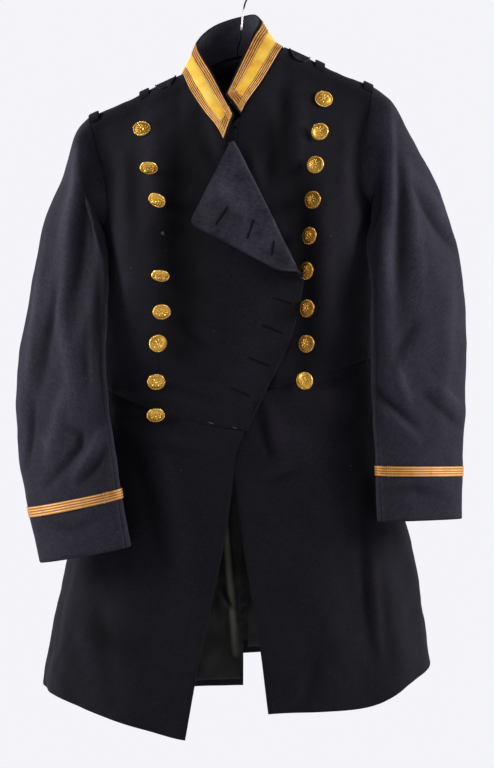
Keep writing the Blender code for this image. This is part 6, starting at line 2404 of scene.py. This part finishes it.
class COAT_OT_buttons(bpy.types.Operator):
    """Makes the gilt buttons, each hanging at its own angle from a wire eye sewn to the cloth"""

    bl_idname = "coat.buttons"
    bl_label = "Buttons"

    def stamped(self, trim):
        """One button round the origin, facing up."""
        turns = np.linspace(0, math.tau, BUTTON_SIDES, endpoint=False)
        circle = np.stack([np.cos(turns), np.sin(turns), np.zeros(BUTTON_SIDES)], axis=-1)
        rings = [circle * reach * BUTTON_RADIUS + (0, 0, height) for reach, height, _ in BUTTON_PROFILE]
        dirt_and_shade = np.repeat([row[2] for row in BUTTON_PROFILE], BUTTON_SIDES)
        count = len(rings) * BUTTON_SIDES
        top = count - BUTTON_SIDES
        ends = [(0, 0, BUTTON_PROFILE[0][1]), (0, 0, BUTTON_PROFILE[-1][1] + BUTTON_PEAK)]
        faces = []
        for k in range(BUTTON_SIDES):
            n = (k + 1) % BUTTON_SIDES
            faces.append((count, n, k))
            for a in range(0, top, BUTTON_SIDES):
                faces.append((a + k, a + n, a + BUTTON_SIDES + n, a + BUTTON_SIDES + k))
            faces.append((top + k, top + n, count + 1))
        values = {
            "Radius": BUTTON_RADIUS * MM, "Dome": BUTTON_DOME * MM, "Rope Beads": trim.rope_beads,
            "Star Rays": trim.star_rays, "Material": finish("gilt"),
        }
        low = {"low": np.concatenate([dirt_and_shade, BUTTON_ENDS_SHADE_AND_DIRT])}
        return grown("button", button_tree, np.concatenate([*rings, ends]), (), values, low, faces)

    def execute(self, context):
        master = self.stamped(context.scene.coat_trim)
        shape = np.zeros(len(master.vertices) * 3, np.float32)
        master.vertices.foreach_get("co", shape)
        shape = shape.reshape(-1, 3)
        eyes, threads = [], []
        rows = [(side, number, row) for side in (LEFT, RIGHT) for number, row in enumerate(BUTTONS[side], 1)]
        for side, number, row in rows:
            button = dict(zip(BUTTON_COLUMNS, row))
            button["nod"] *= DROOP if button["nod"] < DROOP_NOD else 1.0
            seat, back, normal, facing = button_place(side, button)
            upward = unit(np.cross(facing, (1.0, 0.0, 0.0)))
            across = np.cross(upward, facing)
            spin = math.radians(BUTTON_SPIN * number)
            across, upward = (
                across * math.cos(spin) + upward * math.sin(spin),
                upward * math.cos(spin) - across * math.sin(spin),
            )
            mesh = master.copy()
            placed = shape @ np.array([across, upward, facing]) + back * MM
            mesh.vertices.foreach_set("co", placed.astype(np.float32).ravel())
            # How much painted shade this button gets, as it hangs turned away into shade
            tarnish = np.full(len(shape), BUTTONS_IN_PAINTED_SHADE.get((side, number), 0.0), np.float32)
            mesh.attributes.new("tarnish", "FLOAT", "POINT").data.foreach_set("value", tarnish)
            mesh.update()
            name = f"{named('button', side)}_{number}"
            hang_on(show_mesh(f"{name}_dressed", mesh), "gilt", name)
            turn = np.linspace(0, math.tau, EYE_POINTS)[:, None]
            flat = unit(np.cross(facing, EYE_AXIS))
            ring = (np.cos(turn) * flat + np.sin(turn) * facing) * EYE_RADIUS
            eyes.append(back - facing * EYE_DEPTH + ring)
            bow = np.cross(unit(seat - back), flat) * SHANK_BOW
            for shift in SHANK_THREADS:
                start = seat + flat * shift * SHANK_SPREAD - normal * SHANK_IN
                end = back - facing * SHANK_OUT + flat * shift * SHANK_GATHER
                threads.append(np.array([start, (start + end) / 2 + bow * shift, end]))
        bpy.data.meshes.remove(master)
        cords("button_eyes", eyes, EYE_WIRE, "gilt", "gilt")
        cords("button_threads", threads, SHANK_THREAD, "dark thread", "cloth")
        return {"FINISHED"}


class COAT_OT_buttonholes(bpy.types.Operator):
    """Makes the worked buttonholes, the bar tacks at the waist and what is left of the missing button"""

    bl_idname = "coat.buttonholes"
    bl_label = "Buttonholes"

    def execute(self, context):
        fronts = ["lapel_right", "forepart_right", "skirt_right"]
        slits, loops = [], []
        for a, b in (*FLAP_HOLES, *FRONT_HOLES):
            way = np.subtract(b, a, dtype=float)
            length = np.linalg.norm(way)
            straight = length * VIEW_SCALE / 2 - HOLE_EDGE
            slits.append(line_on_cloth(fronts, (a, b), 12, 0.15)[0])
            loops.append(round_on_cloth(fronts, np.add(a, b) / 2, HOLE_EDGE, 61, straight, way / length, 0.2))
        cords("buttonhole_slits", slits, SLIT_RADIUS, "slit", "cloth")
        stitches("buttonhole_stitches", loops, 0.95, (0.72, 1.1, 0.5), "hole thread", seed=11)
        sewn = [line_on_cloth(fronts, ends, 7) for ends in BAR_TACKS]
        sewn += [round_on_cloth(fronts, MISSING_BUTTON, size, 9) for size in MISSING_RINGS]
        stitches("bar_tacks", sewn, 0.8, (0.9, 1.3, 0.6), "pale thread", seed=5, wander=0.5)
        return {"FINISHED"}


class COAT_OT_stitching(bpy.types.Operator):
    """Sews the edges: a fine row beside each turned edge and the rows seen on the fronts"""

    bl_idname = "coat.stitching"
    bl_label = "Edge stitching"

    def execute(self, context):
        s = np.linspace(0.01, 0.99, 150)
        s2 = np.linspace(1.02, 1.98, 60)
        rows = [
            laid("lapel_right", lambda out: lapel_point(s, FLAP_STITCH, -BODY_WALL - out)),
            laid("lapel_right", lambda out: lapel_point(s2, EDGE_STITCH, out)),
        ]
        for side in (LEFT, RIGHT):
            skirt, edge, hem = named("skirt", side), EDGE_CURVES[side], HEM_CURVES[side]
            top, bottom = WAIST_CURVES[side](0.0) + FRONT_STITCH_TOP, hem(FRONT_HEM_ANGLE) - HEM_INSIDE
            down = np.linspace(top, bottom, 130)
            rows.append(laid(skirt, front_point(side, edge(down) + FRONT_INSIDE, down)))
            angle = np.linspace(*HEM_STITCHED, 260)
            rows.append(laid(skirt, front_point(side, angle, hem(angle) - HEM_INSIDE)))
            down = np.linspace(*VENT_STITCHED, 110)
            angle = BACK_SKIRT_CURVE(down) + VENT_INSIDE
            rows.append(laid(named("back", side), back_point(side, angle, down)))
            sleeve = SLEEVES_MADE[side]
            along = sleeve.last - CUFF_INSIDE
            turn = np.linspace(0, 359, 110)
            top = (turn <= SLEEVE_SEAM_FRONT) | (turn >= SLEEVE_SEAM_BACK)
            over = np.sort(np.where(turn[top] > 180, turn[top] - 360, turn[top]))
            for piece, part in (("top_sleeve", over), ("under_sleeve", turn[~top])):
                rows.append(laid(named(piece, side), lambda out: sleeve.point(along, part, out)))
        collar = Collar()
        share = np.linspace(0.01, 0.99, 170)
        rows.append(laid("collar", lambda out: collar.point(share, EDGE_STITCH, out)))
        pitch = context.scene.coat_trim.stitch_pitch / MM
        stitches("edge_stitches", rows, pitch, (2.3, 0.5, 0.42), "dark thread", seed=17)
        lines = [
            line_on_cloth(["forepart_left"], DART, 24, 0.1),
            line_on_cloth(["forepart_right"], ROW_SEAM, 40, 0.1),
        ]
        stitches("front_rows", lines, 2.6, (2.2, 0.45, 0.3), "dark thread", seed=23)
        return {"FINISHED"}


def slanting(degrees):
    """A direction of the view, turned down from the right."""
    return np.array([math.cos(math.radians(degrees)), math.sin(math.radians(degrees))])


class COAT_OT_fastenings(bpy.types.Operator):
    """Makes the wire hooks at the neck and the lint on the cloth"""

    bl_idname = "coat.fastenings"
    bl_label = "Hooks and lint"

    def execute(self, context):
        under = ["collar", "forepart_left", "lapel_left"]
        wires = [
            round_on_cloth(under, place, 0.8, 17, 0.9, slanting(slant), 0.6)[0] for place, slant in NECK_HOOKS
        ]
        cords("neck_hooks", wires, NECK_WIRE, "wire", "wire", 8)
        specks = []
        for place, slant, length in LINT:
            way = slanting(slant) * length / VIEW_SCALE / 2
            specks.append(line_on_cloth(LINT_ON, (place - way, place + way), 4)[0])
        cords("lint", specks, LINT_RADIUS, "lint", "cloth", 5)
        return {"FINISHED"}


class COAT_OT_lining(bpy.types.Operator):
    """Makes the silk lining that hangs inside the backs"""

    bl_idname = "coat.lining"
    bl_label = "Skirt lining"

    def execute(self, context):
        swell = cloth_walls()[-1]
        for side, last in LINING_END.items():

            def upper(angle, side=side):
                return WAIST_CURVES[side](angle) + LINING_BELOW_WAIST

            def lower(angle, side=side):
                return HEM_CURVES[side](angle) - LINING_ABOVE_HEM

            angle, down = grid_of("lining", level(LINING_START), level(last), upper, lower)
            folds = np.zeros(angle.shape)
            for middle, breadth, depth, starts in LINING_FOLDS[side]:
                lean = middle + LINING_SWAY * np.sin(down / LINING_SWAY_LENGTH)
                folds -= depth * bell(angle - lean, breadth) * ease((down - starts) / LINING_START_LENGTH)
            cloth_piece(
                named("lining", side), lambda out: shell(side, angle, down, out - BODY_WALL - LINING_HANG),
                LINING_WALL, "hung", [named("back", side)], seams=("top",), free=("first", "last", "bottom"),
                creases=LINING_CREASES, swell=swell, finishes=("lining",), slot="lining",
                extra=folds * LINING_SHARE,
            )
        return {"FINISHED"}


def tube(name, path, half_depth, half_height, sides, finish_name):
    """A closed tube along a path in the plane y = 0, with rounded ends."""
    tangent = unit(np.gradient(path, axis=0))
    up = np.stack([-tangent[:, 2], np.zeros(len(path)), tangent[:, 0]], axis=-1)
    turns = np.linspace(0, math.tau, sides, endpoint=False)
    steps = steps_of(path)
    end = np.minimum(steps, steps[-1] - steps) / max(half_depth, half_height)
    closing = np.sqrt(np.clip(1 - (1 - np.clip(end, TUBE_END, 1)) ** 2, 0, 1))
    rings = (
        path[:, None, :]
        + (half_depth * closing)[:, None, None] * np.cos(turns)[:, None] * np.array([0.0, 1.0, 0.0])
        + (half_height * closing)[:, None, None] * np.sin(turns)[:, None] * up[:, None, :]
    )
    count, last = len(path) * sides, (len(path) - 1) * sides
    faces = []
    for k in range(sides):
        n = (k + 1) % sides
        faces += [(a + n, a + k, a + sides + k, a + sides + n) for a in range(0, last, sides)]
        faces += [(count, k, n), (count + 1, last + n, last + k)]
    mesh = bpy.data.meshes.new(name)
    mesh.from_pydata((np.concatenate([rings.reshape(-1, 3), path[[0, -1]]]) * MM).tolist(), [], faces)
    mesh.materials.append(finish(finish_name))
    bm = bmesh.new()
    bm.from_mesh(mesh)
    bmesh.ops.recalc_face_normals(bm, faces=bm.faces)
    bm.to_mesh(mesh)
    bm.free()
    return show_mesh(name, mesh)


class COAT_OT_hanger(bpy.types.Operator):
    """Makes the black wooden hanger inside the shoulders and its wire hook"""

    bl_idname = "coat.hanger"
    bl_label = "Hanger"

    def execute(self, context):
        xs = np.linspace(*HANGER_ENDS, HANGER_POINTS)
        slant = math.cos(math.atan(SHOULDER_SLOPE[RIGHT]))
        under = (BODY_WALL + HANGER_CLEAR + HANGER_HALF_HEIGHT) / slant
        neck = np.clip((xs - NECK_MIDDLE) / NECK_HALF, -1, 1)
        heights = top_height(xs) - NECK_RISE * (1 - neck**2) - under
        heights = heights + HANGER_NECK_RISE * ease(1 - np.abs(neck))
        path = np.stack([xs, np.zeros_like(xs), heights], axis=-1)
        bar = tube("hanger_bar", path, HANGER_HALF_DEPTH, HANGER_HALF_HEIGHT, HANGER_SIDES, "wood")
        hang_on(bar, "hanger", "hanger")
        seat = np.interp(HOOK_FOOT, xs, heights) + HANGER_HALF_HEIGHT
        centre = WIRE - HOOK_RADIUS
        turns = np.radians(np.arange(*HOOK_TURNS))
        arc = [(HOOK_RADIUS * math.cos(a), centre + HOOK_RADIUS * math.sin(a)) for a in turns]
        route = np.array([(HOOK_FOOT, seat), (HOOK_FOOT, seat + HOOK_UPRIGHT), *HOOK_STEM, *arc])
        steps = steps_of(route)
        x, height = (through(steps, part)(np.linspace(0, steps[-1], HOOK_POINTS)) for part in route.T)
        wire = np.stack([x, np.zeros_like(x), height], axis=-1)
        hang_on(tube("hook_wire", wire, HOOK_WIRE, HOOK_WIRE, HOOK_SIDES, "wire"), "wire", "hook")
        return {"FINISHED"}


def softbox(name, power, side):
    """A round soft light on one side of the coat."""
    lamp = bpy.data.lights.new(name, "AREA")
    lamp.energy, lamp.shape, lamp.size = power, "DISK", SOFTBOX_SIZE
    holder = shown(name, lamp)
    place = Vector((side * SOFTBOX[0], *SOFTBOX[1:]))
    holder.location = place
    holder.rotation_euler = (Vector(SOFTBOX_AIM) - place).to_track_quat("-Z", "Y").to_euler()


def studio_walls(world, colour):
    """Pale walls all round, dimmer before the coat, where the studio is dark, and under the ceiling."""
    world.use_nodes = True
    tree = world.node_tree
    way = add(tree, "ShaderNodeTexCoord").outputs["Generated"]
    parts = add(tree, "ShaderNodeSeparateXYZ", {"Vector": way}).outputs
    wall = add(
        tree, "ShaderNodeMapRange",
        {"Value": parts["Y"], "From Min": -1.0, "From Max": -0.3, "To Min": 0.42, "To Max": 1.0},
        interpolation_type="SMOOTHSTEP",
    ).outputs[0]
    ceiling = add(
        tree, "ShaderNodeMapRange",
        {"Value": parts["Z"], "From Min": 0.4, "From Max": 0.62, "To Min": 1.0, "To Max": 0.15},
        interpolation_type="SMOOTHSTEP",
    ).outputs[0]
    backdrop = tree.nodes["Background"]
    backdrop.inputs["Color"].default_value = paint(colour)
    tree.links.new(
        add(tree, "ShaderNodeMath", {0: wall, 1: ceiling}, operation="MULTIPLY").outputs[0],
        backdrop.inputs["Strength"],
    )


class COAT_OT_stage(bpy.types.Operator):
    """Makes the pale floor, the soft studio light and the camera"""

    bl_idname = "coat.stage"
    bl_label = "Stage"

    def execute(self, context):
        scene, stage = context.scene, context.scene.coat_stage
        turns = np.linspace(0, math.tau, FLOOR_SIDES, endpoint=False)
        disc = bpy.data.meshes.new("floor")
        rim = [(FLOOR_RADIUS * math.cos(t), FLOOR_RADIUS * math.sin(t), -stage.floor_drop) for t in turns]
        disc.from_pydata(rim, [], [tuple(range(len(rim)))])
        disc.materials.append(pale_floor(stage.backdrop))
        floor = shown("floor", disc)

        scene.world = scene.world or bpy.data.worlds.new("studio")
        studio_walls(scene.world, stage.backdrop)
        softbox("left softbox", stage.key_power, -1)
        softbox("right softbox", stage.fill_power, 1)

        lens = bpy.data.cameras.new("camera")
        lens.sensor_fit, lens.sensor_height, lens.lens = "VERTICAL", SENSOR_HEIGHT, CAMERA_LENS
        camera = shown("camera", lens)
        camera.location = [c * MM for c in CAMERA]
        camera.rotation_euler = (math.pi / 2, 0.0, 0.0)
        scene.camera = camera
        scene.render.resolution_x, scene.render.resolution_y = VIEW_SIZE
        scene.view_settings.view_transform = "Standard"
        return {"FINISHED"}


class COAT_PT_sidebar(bpy.types.Panel):
    """Sizes, colours and pieces of the coat"""

    bl_idname = "COAT_PT_sidebar"
    bl_label = "Military dress coat"
    bl_space_type = "VIEW_3D"
    bl_region_type = "UI"
    bl_category = "Coat"

    def draw(self, context):
        for name in GROUPS:
            group = getattr(context.scene, name)
            column = self.layout.column(align=True)
            for key in group.bl_rna.properties.keys():
                if key not in ("rna_type", "name"):
                    column.prop(group, key)
        column = self.layout.column(align=True)
        for operator in OPERATORS:
            column.operator(operator.bl_idname)


GROUPS = {"coat_cloth": COAT_PG_cloth, "coat_trim": COAT_PG_trim, "coat_stage": COAT_PG_stage}
OPERATORS = (
    COAT_OT_fronts, COAT_OT_backs, COAT_OT_skirts, COAT_OT_sleeves, COAT_OT_collar, COAT_OT_cuff_lace,
    COAT_OT_shoulders, COAT_OT_lining, COAT_OT_buttons, COAT_OT_buttonholes, COAT_OT_stitching,
    COAT_OT_fastenings, COAT_OT_hanger, COAT_OT_stage,
)


def register():
    for kind in (*GROUPS.values(), *OPERATORS, COAT_PT_sidebar):
        bpy.utils.register_class(kind)
    for key, group in GROUPS.items():
        setattr(bpy.types.Scene, key, PointerProperty(type=group))


def unregister():
    for key in GROUPS:
        delattr(bpy.types.Scene, key)
    for kind in (COAT_PT_sidebar, *reversed(OPERATORS), *GROUPS.values()):
        bpy.utils.unregister_class(kind)


def main():
    register()
    for operator in OPERATORS:
        getattr(bpy.ops.coat, operator.bl_idname.split(".")[1])()


if __name__ == "__main__":
    main()
